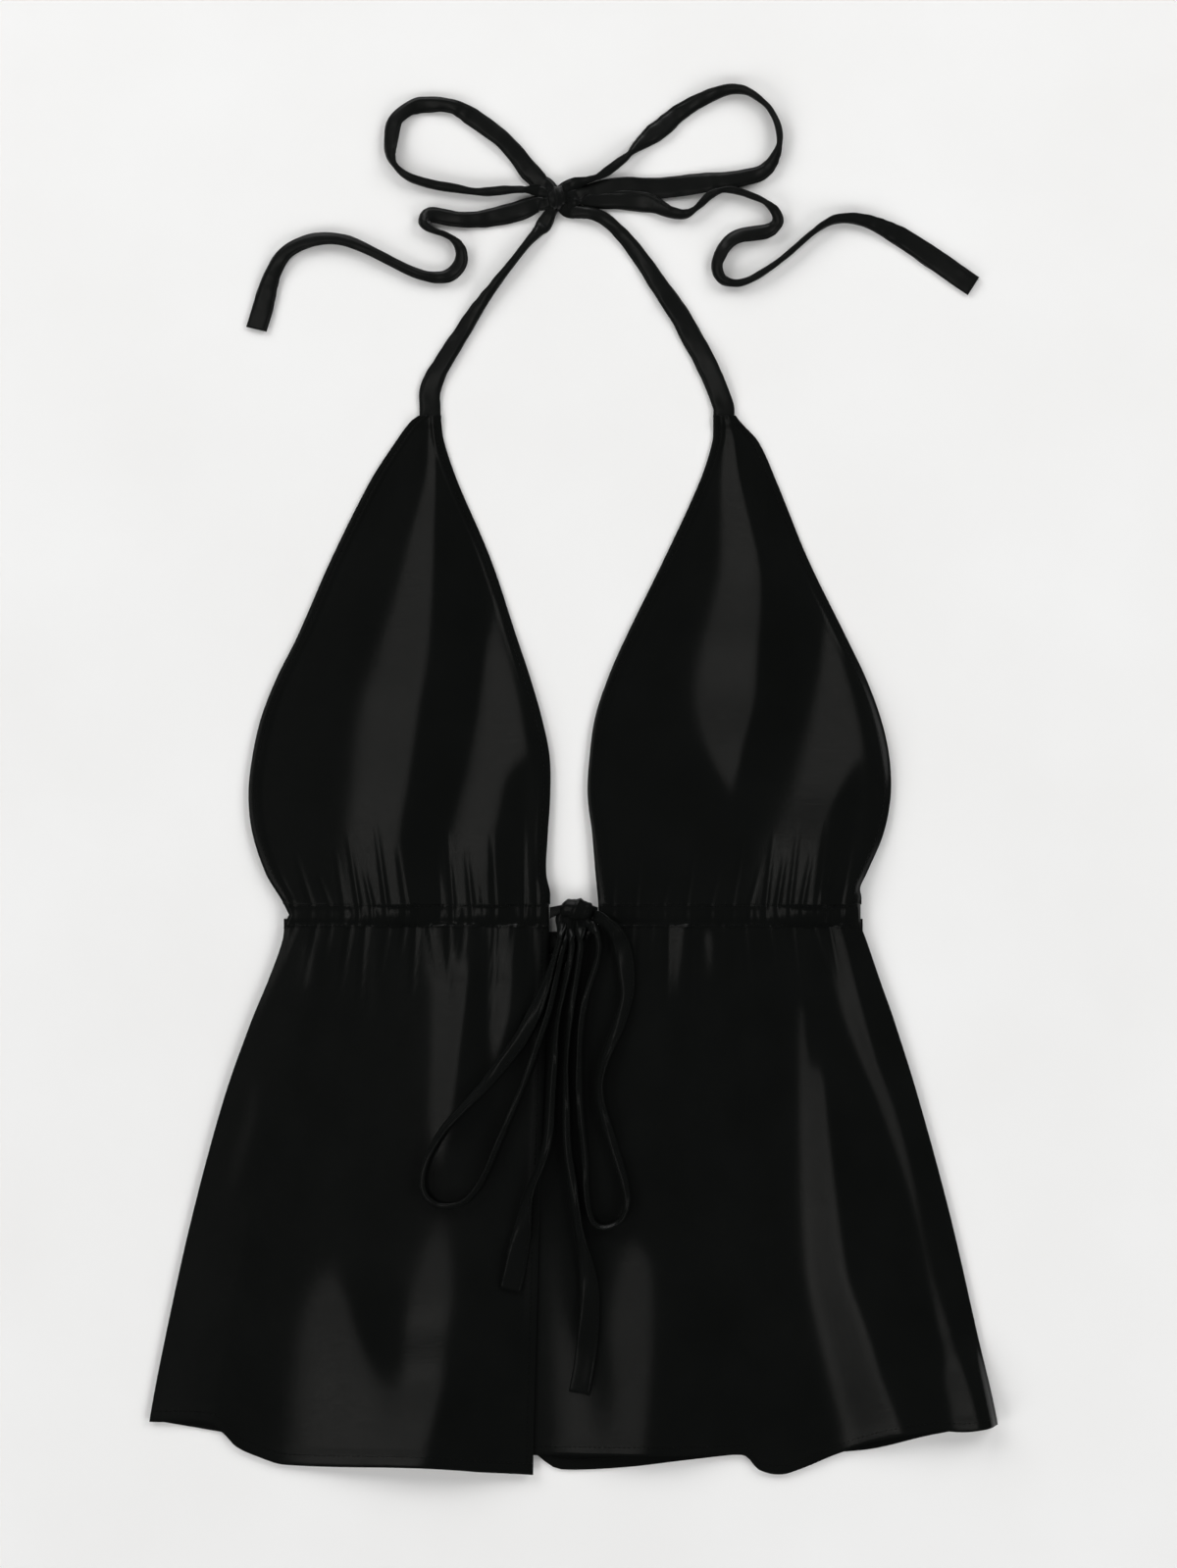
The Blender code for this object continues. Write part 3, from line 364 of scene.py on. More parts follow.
NECK_TAIL_RIGHT = [
    (3, 454.2, 114), (9, 454.3, 118), (18.5, 454.3, 121), (27.5, 454.2, 124), (35, 453.7, 127),
    (42, 453, 128), (47, 451.9, 121), (51.5, 450.3, 113), (57.5, 447.5, 105), (63.5, 445.9, 101),
    (69.5, 446, 97), (74.5, 449, 91), (79.5, 453.3, 86), (84, 457.5, 85), (89.5, 460.3, 89),
    (94.5, 461, 93), (101.5, 459.8, 93), (109.5, 457, 92), (115.5, 454.5, 91), (120, 451, 86),
    (123, 447, 81), (123.8, 443, 78), (121.7, 440, 75), (117.5, 437.8, 69), (110.5, 436.6, 68),
    (102.5, 435.3, 69), (96, 432.3, 70), (91.3, 427.3, 73), (88, 421, 74), (86.6, 415.5, 77),
    (87.6, 410, 78), (91, 405.8, 81), (96, 404, 85), (102.5, 404, 86), (110.5, 407, 87), (119, 412.2, 88),
    (128.5, 419, 90), (137, 426.2, 90), (145, 433.3, 90), (153, 439.3, 87), (161, 442.7, 82),
    (169, 443.2, 79), (177, 442, 75), (185, 439.2, 69), (193, 435.3, 60), (201, 431, 52), (209, 426, 47),
    (217, 420.6, 43), (225.5, 415, 38), (234, 409.2, 30), (244.5, 402.5, 20)]
print("bends on the neck ties:", len(STRAP_LEFT + STRAP_RIGHT + NECK_LOOP_LEFT + NECK_LOOP_RIGHT
                                     + NECK_TAIL_LEFT + NECK_TAIL_RIGHT))

# %% Routes of the waist drawstring: x, y, roll
WAIST_LOOP_LEFT = [
    (-7.5, 10, 85), (-10, -1.5, 83), (-13.5, -14, 78), (-19, -29, 68), (-26, -44.5, 62), (-35, -60.5, 62),
    (-46, -74.5, 65), (-56.5, -87.5, 71), (-68, -99.5, 74), (-79, -112, 77), (-86.5, -124, 80),
    (-91.5, -136, 82), (-92.5, -148, 83), (-88, -156.5, 83), (-78.5, -160, 83), (-68, -157.5, 82),
    (-59.5, -149.5, 80), (-52.5, -137, 80), (-46, -121.5, 80), (-39.5, -106, 82), (-32.5, -89.5, 82),
    (-26, -73.5, 84), (-20, -56.5, 84), (-14.5, -40, 85), (-10.5, -23.5, 86), (-7, -7, 87), (-4, 7, 87)]
WAIST_LOOP_RIGHT = [
    (16.5, 16.5, 68), (24.5, 9.5, 58), (29, -1.5, 50), (31.5, -16, 54), (32.5, -29, 64), (29.5, -42.5, 68),
    (24.5, -55.5, 71), (19, -70, 72), (16, -84.5, 74), (17, -98.5, 74), (21.5, -115, 74), (26.5, -131, 75),
    (31, -146, 77), (32.5, -158.5, 80), (29, -167.5, 83), (20.5, -172.5, 83), (13, -170, 83),
    (9.5, -161.5, 82), (8, -149, 81), (7.5, -133, 80), (5.5, -115, 80), (4, -97, 80), (3.5, -79, 80),
    (4, -58, 82), (6.5, -38.5, 84), (10.5, -23.5, 85), (14.5, -11, 85), (16, 1, 85), (13, 10.5, 85)]
WAIST_TAIL_LONG = [
    (4, 8, 87), (3.5, -4, 86), (1.5, -19, 85), (-1, -34, 84), (-2.5, -49, 82), (-4, -67, 80),
    (-4.5, -85, 80), (-4.5, -103, 79), (-4, -121, 78), (-2, -139, 76), (0.5, -157, 72), (4, -176.5, 66),
    (7.5, -196, 56), (9.5, -217, 42), (8.5, -238, 25), (6.5, -257, 10), (3.5, -273.5, 0)]
WAIST_TAIL_SHORT = [
    (-1, 8, 87), (-2, -4, 87), (-4.5, -19, 86), (-7.5, -34, 85), (-10, -49, 83), (-11.5, -67, 80),
    (-13, -85, 79), (-14, -103, 78), (-16, -119, 76), (-20, -134.5, 74), (-26, -149, 70), (-30.5, -166, 58),
    (-33.5, -182.5, 38), (-35.5, -197, 18), (-38.5, -210.5, 0)]
print("bends on the drawstring:", len(WAIST_LOOP_LEFT + WAIST_LOOP_RIGHT
                                      + WAIST_TAIL_LONG + WAIST_TAIL_SHORT))

# %% [markdown]
# ## From a route to a tape
# A tie leaves its knot squeezed to a narrow, thick roll and opens out over about 18 mm. It starts a little
# inside the knot and runs straight out, to 3 mm from the knot's surface. Each point then gets the height of
# what it lies on plus half of its own height, so that every bend rests and none floats.


# %% Stations along a tie
STEPS_TO_BEND = 5           # stations from one bend to the next


def leave_knot(knot, angle, roll, distance=KNOT_GAP):
    """A bend straight out of a knot, at a distance from its surface."""
    angle = math.radians(angle)
    x, y = knot.half_x * math.cos(angle), knot.half_y * math.sin(angle)
    out = Vector((x / knot.half_x ** 2, y / knot.half_y ** 2)).normalized() * distance
    return (knot.x + x + out.x, knot.y + y + out.y, roll)


def through_bends(bends, steps):
    """Even steps on a smooth curve through the bends, with their roll."""
    points = []
    for i in range(len(bends) - 1):
        around = [bends[max(i - 1, 0)], bends[i], bends[i + 1], bends[min(i + 2, len(bends) - 1)]]
        for k in range(steps + (i == len(bends) - 2)):
            t = k / steps
            weights = (-t + 2 * t * t - t ** 3, 2 - 5 * t * t + 3 * t ** 3,
                       t + 4 * t * t - 3 * t ** 3, -t * t + t ** 3)
            points.append([sum(w * row[c] for w, row in zip(weights, around)) / 2 for c in range(3)])
    return points


def tape_stations(bends, start, end, bed):
    """Centre, direction, roll, width and thickness along a tie. start and end are a knot and an angle."""
    if start:
        bends = [leave_knot(*start, bends[0][2]), leave_knot(*start, bends[0][2], KNOT_LEAD)] + bends
    if end:
        bends = bends + [leave_knot(*end, bends[-1][2], KNOT_LEAD), leave_knot(*end, bends[-1][2])]
    points = through_bends(bends, STEPS_TO_BEND)
    runs = np.concatenate([[0], np.cumsum([math.dist(a[:2], b[:2]) for a, b in zip(points, points[1:])])])
    open_out = smooth(runs / PINCH_LENGTH) if start else np.ones(len(runs))
    if end:
        open_out = open_out * smooth((runs[-1] - runs) / PINCH_LENGTH)
    widths = PINCH_WIDTH + (TAPE_WIDTH - PINCH_WIDTH) * open_out
    thicks = PINCH_THICK + (TAPE_THICK - PINCH_THICK) * open_out
    alongs = [Vector((b[0] - a[0], b[1] - a[1], 0)).normalized()
              for a, b in zip(points[:1] + points[:-1], points[1:] + points[-1:])]
    beds = [bed(*point, along, width) if bed else 0.0 for point, along, width in zip(points, alongs, widths)]
    stations = []
    for i, (x, y, roll) in enumerate(points):
        roll += (SLANT_AT_KNOT - roll) * (1 - float(open_out[i])) * (roll > SLANT_AT_KNOT)
        along, roll = alongs[i], math.radians(roll)
        half_height = (widths[i] * abs(math.sin(roll)) + thicks[i] * abs(math.cos(roll))) / 2
        z = half_height + max(beds[max(i - 2, 0):i + 3])
        for knot, run in ((start, runs[i]), (end, runs[-1] - runs[i])):
            if knot:
                z += (knot[0].z - z) * (1 - float(smooth(run / KNOT_REACH)))
        stations.append((Vector((x, y, z)), along, roll, widths[i], thicks[i], runs[i]))
    return stations


trial = tape_stations(STRAP_LEFT, None, (NECK_KNOT, 245), None)
print("left strap:", len(trial), "stations over", round(trial[-1][5]), "mm")

# %% [markdown]
# ## The section of a tape
# Seen end on, the tape is four layers pressed together: soft round folds at both edges, a shallow groove
# where the stitching pulls one edge in, and a little fullness between. A few named points say that, and
# the edge that carries the stitching also puckers slightly along its length. A limp tape doesn't stand on
# edge like a ruler. Its lower part hangs like a skirt and its upper part lies over like a narrow roof, so
# each section is bent: upright first, then nearly level. The roof is a little domed and its tilt wanders,
# which gives the thin broken lines of sheen that a drawstring shows.

# %% The section of a tape
TAPE_SECTION = [            # across (-1 to 1 of half the width), height (of half the thickness)
    (-1.0, 0.0), (-0.985, 0.5), (-0.93, 0.86), (-0.8, 1.0), (-0.6, 1.02), (-0.4, 1.0), (-0.2, 0.95),
    (0.0, 0.92), (0.2, 0.95), (0.40, 0.98), (0.55, 0.98), (0.66, 0.92), (0.74, 0.68), (0.82, 0.90),
    (0.90, 0.90), (0.96, 0.74), (0.99, 0.42)]
TAPE_RING = TAPE_SECTION + [(1.0, 0.0)] + [(a, -h) for a, h in reversed(TAPE_SECTION[1:])]
STITCH_ACROSS = 0.74        # the stitched groove's place in that table


def tape_pucker(run, number):
    """How much the stitched edge puckers at a place along the tape."""
    return 0.16 * math.sin(run / 1.9 + number) + 0.12 * math.sin(run / 3.7 + 2.3 * number)


print("points around a tape:", len(TAPE_RING), "and a pucker of", round(tape_pucker(1, 1), 2), "mm")

# %% How a limp tape bends over
LIGHT_SLOPE = Vector((0.17, 0.02, 0))    # satin with this slope mirrors the key light to an eye above it
NARROWEST_ROOF = 0.14       # the least share of a tape's width that lies over
LEANING_SPREAD = 0.25       # how much more of a leaning tape lies over
TURN = 0.11                 # share of the width in which a skirt turns into its roof
CRUSHED = 0.55              # a skirt's height as a share of its cloth, because it sags in small folds
WANDER_RUN = 17.0           # millimetres of tape to a radian of its roof's wandering tilt
SQUEEZED_TILT = 0.6         # the tilt beside a knot, as a share of a roof's sway
OPENED = 6.0                # a tape that is this much wider than where it is squeezed lies freely
UP = Vector((0, 0, 1))
# A tie's roof has a number of its own, so that no two wander alike, a doming, a wandering tilt and a spread.
Shape = namedtuple("Shape", "number dome sway spread", defaults=(0.14, 0.17, 0.12))
Tie = namedtuple("Tie", "tape stations path length shape")


def curl(station, shape):
    """Middle and normal of the tape at each named place across it: its upper part lies over like a roof."""
    centre, along, roll, width, thick, run = station
    level = Vector((-along.y, along.x, 0))
    to_middle = Vector(CAMERA_PLACE) / MM - centre
    skirt = math.pi / 2 - math.atan(level.dot(to_middle) / to_middle.z)
    lying, upright = abs(math.cos(roll)), math.sin(roll) ** 2
    roof = min(max(lying + upright * (shape.spread + LEANING_SPREAD * lying), NARROWEST_ROOF), 1.0)
    opened = float(smooth((width - PINCH_WIDTH) / OPENED))
    wave = math.sin(run / WANDER_RUN + 1.7 * shape.number)
    wander = shape.sway * (wave * opened - SQUEEZED_TILT * (1 - opened))
    base = math.sin(roll) * (math.atan(LIGHT_SLOPE.dot(level)) + wander)
    spots, places, normals = [a for a, h in TAPE_SECTION] + [1.0], [], []
    point = Vector((0, 0, 0))
    for i, a in enumerate(spots):
        share = (a + 1) / 2
        over = float(smooth((share - 1 + roof + TURN) / TURN))
        t = min(max((share - 1 + roof) / roof, 0.0), 1.0)
        angle = skirt * (1 - over) + (base + shape.dome * math.sin(roll) * (1 - 2 * t)) * over
        across = level * math.cos(angle) + UP * math.sin(angle)
        if i:
            point = point + across * ((a - spots[i - 1]) * width / 2 * (over + CRUSHED * (1 - over)))
        places.append(point)
        normals.append(along.cross(across))
    lowest = min(point.z for point in places)
    corner = centre - (level * lying + UP * math.sin(roll)) * (width / 2)
    return [corner + point - Vector((0, 0, lowest)) for point in places], normals


bent = curl(trial[len(trial) // 2], Shape(1))[0]
print("the left strap shows", round((bent[-1] - bent[0]).xy.length, 1), "mm of its width half way")


# %% Meshes of tubes
def plain_mesh(name, points, faces, uvs, material):
    """A named object from points and faces, smooth shaded, with its cloth map."""
    mesh = bpy.data.meshes.new(name)
    mesh.from_pydata([tuple(point) for point in points], [], faces)
    loops = np.empty(len(mesh.loops), np.int32)
    mesh.loops.foreach_get("vertex_index", loops)
    cloth_map = mesh.uv_layers.new(name="cloth")
    cloth_map.data.foreach_set("uv", np.array(uvs, np.float32)[loops].ravel())
    mesh.materials.append(material)
    mesh.shade_smooth()
    return put_in_scene(name, mesh)


def tube_faces(steps, ring, turned=False):
    """The sides of a tube of rings. Turned faces look the other way."""
    faces = []
    for i in range(steps):
        for k in range(ring):
            a, b = i * ring + k, i * ring + (k + 1) % ring
            faces.append((a, b, b + ring, a + ring) if turned else (a, a + ring, b + ring, b))
    return faces


def end_faces(steps, ring, turned=False):
    """The two ends of such a tube."""
    first, last = tuple(range(ring)), tuple(range(steps * ring, steps * ring + ring))
    return [first[::-1], last] if turned else [first, last[::-1]]


print("a box as a tube has", len(tube_faces(1, 4) + end_faces(1, 4)), "faces")

# %% Sweep the neck ties
MAP_STEP = 1.4              # millimetres of the cloth map between two points of a tape's ring


def make_tape(name, bends, shape, start=None, end=None, bed=None):
    """A flat tie as a closed tube that follows its bends, with a map in metres along it."""
    stations = tape_stations(bends, start, end, bed)
    points, uvs = [], []
    for station in stations:
        thick, run = station[4:]
        pucker = tape_pucker(run, shape.number)
        middles, normals = curl(station, shape)
        for k, (a, h) in enumerate(TAPE_RING):
            spot = min(k, len(TAPE_RING) - k)
            ripple = pucker * smooth(abs(a)) * (1 if a > 0 else 0.5)
            points.append((middles[spot] + normals[spot] * (h * thick / 2 + ripple)) * MM)
            uvs.append((k * MAP_STEP * MM, run * MM))
    steps, ring = len(stations) - 1, len(TAPE_RING)
    faces = tube_faces(steps, ring) + end_faces(steps, ring)
    # neck ties get the pressed tape, whose lighter black is painted sheen
    tape = plain_mesh(name, points, faces, uvs, satin_tape if bed else pressed_tape_painted_sheen)
    path = [station[0] * MM for station in stations]
    length = sum((b - a).length for a, b in zip(path, path[1:]))
    ties[name] = Tie(tape, stations, path, length, shape)
    print(name, "is", round(length / MM), "mm long,", len(faces), "faces")


ties = {}
make_tape("strap_left_tape", STRAP_LEFT, Shape(1), end=(NECK_KNOT, 245))
make_tape("strap_right_tape", STRAP_RIGHT, Shape(2), end=(NECK_KNOT, 315))
make_tape("neck_loop_left_tape", NECK_LOOP_LEFT, Shape(3), start=(NECK_KNOT, 125), end=(NECK_KNOT, 160))
make_tape("neck_loop_right_tape", NECK_LOOP_RIGHT, Shape(4), start=(NECK_KNOT, 43), end=(NECK_KNOT, 11))
make_tape("neck_tail_left_tape", NECK_TAIL_LEFT, Shape(5), start=(NECK_KNOT, 197))
make_tape("neck_tail_right_tape", NECK_TAIL_RIGHT, Shape(6), start=(NECK_KNOT, 340))

# %% [markdown]
# ## The cloth panels
# Two bibs, two peplum fronts and the peplum's back are flat cuts of satin, drawn up along the waist. Cloth
# simulation could drop them on a table, but its folds fall anywhere. These folds are placed one by one: each
# panel is a fine grid between its outline tables, and every crease has its own small table. A point of a
# panel is named by u, from its centre edge (0) to its side edge (1), and v, from its seam (0) to its hem (1).

# %% Outlines of the bibs: y, centre x, side x
BIB_LEFT_EDGES = [
    (24.9, -14.1, -177), (28, -14.1, -178.3), (32, -14.1, -181), (44, -16.5, -188), (68, -15.5, -196),
    (92, -14, -198.5), (116, -14.5, -196), (140, -19.5, -190.5), (164, -26.5, -181), (188, -34.5, -169),
    (236, -50.5, -148), (284, -71, -124), (308, -79, -108.5), (320, -80.7, -99.5), (BIB_TOP, -80.7, -94.5)]
BIB_RIGHT_EDGES = [
    (24.9, 15.3, 176), (30, 14.9, 175.9), (35, 14.4, 175.2), (44, 13.5, 179.3), (68, 11.5, 189.5),
    (92, 8.7, 194), (116, 10, 193), (140, 13.5, 187.5), (164, 21.5, 178.5), (188, 32, 167),
    (236, 55.5, 143.5), (284, 77.5, 124), (308, 85, 113), (320, 85.5, 102), (BIB_TOP, 85.5, 99.3)]
BIB_SEAM = [(0, 24.9), (1, 24.9)]
BIB_END = [(0, BIB_TOP), (1, BIB_TOP)]
print("bibs reach", BIB_TOP, "mm up the table")

# %% Outlines of the peplum: edges as y, centre x, side x, and hems as u, y
FRONT_SEAM = WAIST_SEAM + 0.6           # the fronts reach a little under their casings
PEPLUM_LEFT_EDGES = [
    (FRONT_SEAM, -14.7, -176.4), (2, -14.8, -177.8), (-22, -15.5, -186.5), (-46, -16.2, -196.5),
    (-94, -18, -213.5), (-166, -20.5, -233), (-238, -22.5, -249), (-291, -24, -259), (-324, -24.5, -262)]
PEPLUM_RIGHT_EDGES = [
    (FRONT_SEAM, 9.4, 175.4), (2, 2, 179.3), (-22, -12, 187.5), (-46, -20, 196), (-94, -24.5, 211),
    (-166, -29, 230.5), (-238, -33, 247), (-291, -35, 259), (-324, -36, 262)]
PEPLUM_BACK_EDGES = [
    (2, -176.5, 176.5), (-22, -185, 185.5), (-46, -195, 194.5), (-94, -212, 209.5), (-166, -231.5, 229),
    (-238, -247.5, 245.5), (-291, -258, 258), (-324, -261, 261)]
PEPLUM_SEAM = [(0, FRONT_SEAM), (1, FRONT_SEAM)]
PEPLUM_LEFT_HEM = [
    (0, -323.7), (0.13, -321.5), (0.21, -319.5), (0.29, -318.3), (0.64, -317.7), (0.72, -312),
    (0.77, -306.5), (0.80, -299.5), (0.84, -293), (1, -291.5)]
PEPLUM_RIGHT_HEM = [
    (0, -312), (0.11, -311.7), (0.465, -311.7), (0.48, -313.5), (0.50, -320.5), (0.545, -323.7),
    (0.59, -320), (0.66, -311.5), (0.76, -301.5), (0.87, -296.3), (0.93, -296.5), (1, -293)]
PEPLUM_BACK_HEM = [
    (0, -290.7), (0.17, -304), (0.38, -310.5), (0.455, -311.5), (0.473, -318.5), (0.49, -321),
    (0.56, -319.5), (0.64, -314.7), (0.70, -311.5), (0.84, -309), (0.92, -300), (1, -292.5)]
WAIST_HALF = 177.0
BACK_DIP_TOP, BACK_DIP = 8.0, 8.0       # the back casing's top edge at its middle, and its rise to the sides


def back_waist(x):
    """Height up the table of the back casing's top edge, which dips at its middle."""
    return BACK_DIP_TOP + BACK_DIP * np.abs(np.asarray(x) / WAIST_HALF) ** 1.6


BACK_SEAM = [(k / 8, float(back_waist((k / 4 - 1) * WAIST_HALF)) - CASING_DEPTH - GAP) for k in range(9)]
print("peplum hems:", PEPLUM_LEFT_HEM[0], PEPLUM_RIGHT_HEM[0])

# %% [markdown]
# ## How the panels lie on each other
# A bib lies on the table and climbs to the casing that it is sewn to. The peplum fronts lie on the back
# peplum, and the left front laps over the right one's edge. These small functions give the height that
# each panel starts from, before any fold.


# %% Beds of the panels
BIB_LIES_FLAT = 240.0       # how far up the table a bib starts to climb to its casing
FRONT_LIES_FLAT = -190.0    # where a front starts to climb over the back casing
TIP_FOLD, TIP_TURN, TIP_HEIGHT = 313.0, 8.0, 1.1    # where a bib's tip folds, over what length, how high
LAP_FOOT, LAP_RUN = -125.0, 95.0        # where the left front starts to climb over the right one


def bib_base(x, y):
    """A bib lies on the table, climbs over its casing's edge, and its tip is folded over the strap."""
    climb = np.clip((BIB_LIES_FLAT - y) / 214, 0, 1) ** 1.3
    return OVER_CASING * climb + TIP_HEIGHT * smooth((y - TIP_FOLD) / TIP_TURN)


def front_base(x, y):
    """A front lies on the back peplum and climbs over the back casing."""
    climb = np.clip((y - FRONT_LIES_FLAT) / 200, 0, 1) ** 1.2
    return OVER_BACK + (OVER_CASING - OVER_BACK) * climb


def lapped_base(x, y):
    """The left front also climbs over the edge of the right one."""
    return front_base(x, y) + (CLOTH + GAP) * smooth((x - LAP_FOOT) / LAP_RUN) * smooth((6 - y) / 30)


def back_base(x, y):
    """The back peplum lies on the table."""
    return np.zeros_like(x)


print("a bib's seam is", round(float(bib_base(0, 26)), 2), "mm above the table")

# %% [markdown]
# ## Creases as tables
# Satin shows a fold as a clear band of sheen with a crisp edge, because one side of the fold tilts evenly
# towards the lamp. So the folds are tables read from left to right across a panel. A Rise climbs at an
# even tilt from its valley line to its crest line, and that side shines. A Sink brings the cloth down
# again by a share of its height between two lines, and stays dark. Wide bands become tall folds and
# narrow ones small folds, as on real cloth, where the tilt is what they share. Two folds that part from
# one another are one Rise with a Sink whose share grows from nothing where they part.

# %% Folds of the bibs: a Rise has y, valley x, crest x; a Sink has y, crest x, foot x, share
Rise = namedtuple("Rise", "tilt rows")
Sink = namedtuple("Sink", "rows")
BIB_LEFT_FOLDS = [
    Rise(0.15, [(330, -88, -85), (312, -88.5, -84.5), (286, -90.3, -83.5), (252, -99.3, -84),
                (218, -107.7, -84.3), (177, -119.8, -86.1), (146, -129.3, -91), (102, -133.5, -97.6),
                (60, -137.7, -103.5), (10, -137.7, -98)]),
    Sink([(330, -85, -80, 1), (286, -83.5, -72, 1), (252, -84, -62, 1), (218, -84.3, -56, 1),
          (177, -86.1, -57, 1), (146, -91, -61, 1), (102, -97.6, -70, 1), (60, -103.5, -80, 1),
          (10, -98, -82, 1)]),
    Rise(0.155, [(212, -47, -46), (196, -50, -43), (177, -55.5, -36), (146, -59.7, -27.5),
                 (120, -64, -22.5), (102, -68.1, -19.5), (81, -73.3, -19), (60, -78.3, -19),
                 (10, -80.7, -19.5)]),
    Sink([(330, -29, -25, 0), (122, -29, -25, 0), (102, -40, -28.5, 0.4), (81, -43.5, -31, 0.6),
          (60, -47.7, -33.5, 0.7), (10, -52, -38, 0.7)]),
    Sink([(330, -46, -40, 1), (212, -46, -40, 1), (196, -43, -33, 1), (177, -36, -28, 1),
          (146, -27.5, -19, 1), (120, -22.5, -14.5, 0.85), (102, -19.5, -13, 0.8), (10, -19.5, -13, 0.7)])]
BIB_RIGHT_FOLDS = [
    Rise(0.185, [(330, 90.5, 94), (312, 91.5, 98), (285, 89.5, 102.6), (258, 89.5, 109.5), (231, 88, 116),
                 (205, 82.5, 117.3), (178, 75.3, 116), (151, 73.5, 114.3), (126, 79, 107.7),
                 (110, 86, 103.5), (98, 92.5, 100), (88, 95.5, 96.5)]),
    Sink([(330, 94, 98, 1), (312, 98, 106, 1), (285, 102.6, 118, 1), (258, 109.5, 130, 1),
          (231, 116, 140, 1), (205, 117.3, 145, 1), (178, 116, 143, 1), (151, 114.3, 138, 1),
          (124, 107.7, 130, 1), (98, 101, 124, 1), (80, 96, 115, 1), (10, 95, 110, 1)]),
    Rise(0.20, [(206, 153, 154), (182, 151, 165), (160, 147.3, 174), (135, 141.4, 181.5),
                (111, 135.2, 184.5), (92, 129.9, 184.5), (62, 117.3, 180.5), (42, 113.1, 173),
                (10, 114.3, 169)]),
    Sink([(330, 174.5, 178, 0), (120, 174, 178, 0), (100, 167, 175, 0.25), (85, 160, 172, 0.5),
          (62, 154, 166, 0.62), (45, 152, 162, 0.62), (10, 150, 157, 0.6)]),
    Sink([(330, 154, 160, 1), (206, 154, 160, 1), (182, 165, 172, 1), (160, 174, 180, 1),
          (135, 181.5, 187.5, 0.9), (111, 184.5, 192, 0.85), (92, 184.5, 192, 0.8), (62, 180.5, 187.5, 0.8),
          (42, 173, 178.5, 0.8), (10, 169, 175, 0.8)])]
print("folds on the bibs:", len(BIB_LEFT_FOLDS + BIB_RIGHT_FOLDS))

# %% Folds of the peplum
PEPLUM_LEFT_FOLDS = [
    Rise(0.06, [(-84, -194, -193), (-104, -199.5, -194.5), (-140, -209, -203), (-160, -212, -211)]),
    Sink([(20, -192, -180, 1), (-84, -192, -180, 1), (-104, -193, -175, 1), (-140, -203, -185, 1),
          (-160, -213, -195, 1), (-330, -213, -195, 1)]),
    Rise(0.075, [(0, -165, -163), (-8, -165, -159), (-20, -165, -160), (-28, -164, -163)]),
    Sink([(20, -159, -150, 1), (-330, -159, -150, 1)]),
    Rise(0.13, [(-192, -147, -146), (-204, -154, -140), (-216, -160, -134), (-233, -164.5, -127),
                (-247, -166.5, -119.7), (-270, -169, -116), (-330, -171, -114)]),
    Sink([(20, -146, -126, 1), (-192, -146, -126, 1), (-204, -140, -120, 1), (-216, -134, -108, 1),
          (-233, -127, -111, 0.85), (-247, -119.7, -112, 0.6), (-262, -116, -109, 0.3),
          (-285, -114, -104, 0.1), (-330, -114, -104, 0)]),
    Rise(0.09, [(20, -124, -121), (-20, -123.5, -121), (-46, -122.5, -121.5)]),
    Sink([(20, -121, -112, 1), (-60, -121, -112, 1), (-90, -121, -112, 0), (-330, -121, -112, 0)]),
    Rise(0.15, [(20, -93, -61), (-12, -88.5, -60.5), (-27, -85.5, -62), (-60, -85, -67), (-90, -86, -71.5),
                (-112, -86, -75), (-138, -82.5, -81.5)]),
    Sink([(20, -86, -69, 0.75), (4, -84, -71, 0.6), (-12, -80, -74, 0.2), (-24, -78, -75, 0),
          (-330, -78, -75, 0)]),
    Rise(0.132, [(-166, -82, -81), (-178, -85, -77), (-190, -89.7, -74.5), (-213, -97, -72),
                 (-233, -107.7, -71.7), (-247, -114, -72), (-265, -115, -74), (-290, -114.5, -79),
                 (-330, -114, -90)]),
    Sink([(20, -61, -54.5, 1), (-12, -60.5, -54.5, 1), (-60, -67, -55, 1), (-112, -75, -50, 1),
          (-160, -80, -45, 1), (-190, -74.5, -38, 1), (-233, -71.7, -30, 1), (-265, -74, -30, 1),
          (-330, -90, -36, 1)]),
    Rise(0.155, [(20, -53.7, -34.5), (-22, -53.7, -34.5), (-42, -52, -37), (-60, -50.5, -43),
                 (-74, -49, -48)]),
    Sink([(20, -34.5, -28, 1), (-42, -37, -26, 1), (-74, -48, -30, 1), (-100, -48, -30, 0),
          (-330, -48, -30, 0)]),
    Rise(0.155, [(20, -26, -21), (0, -26, -21.3), (-14, -24, -23)])]
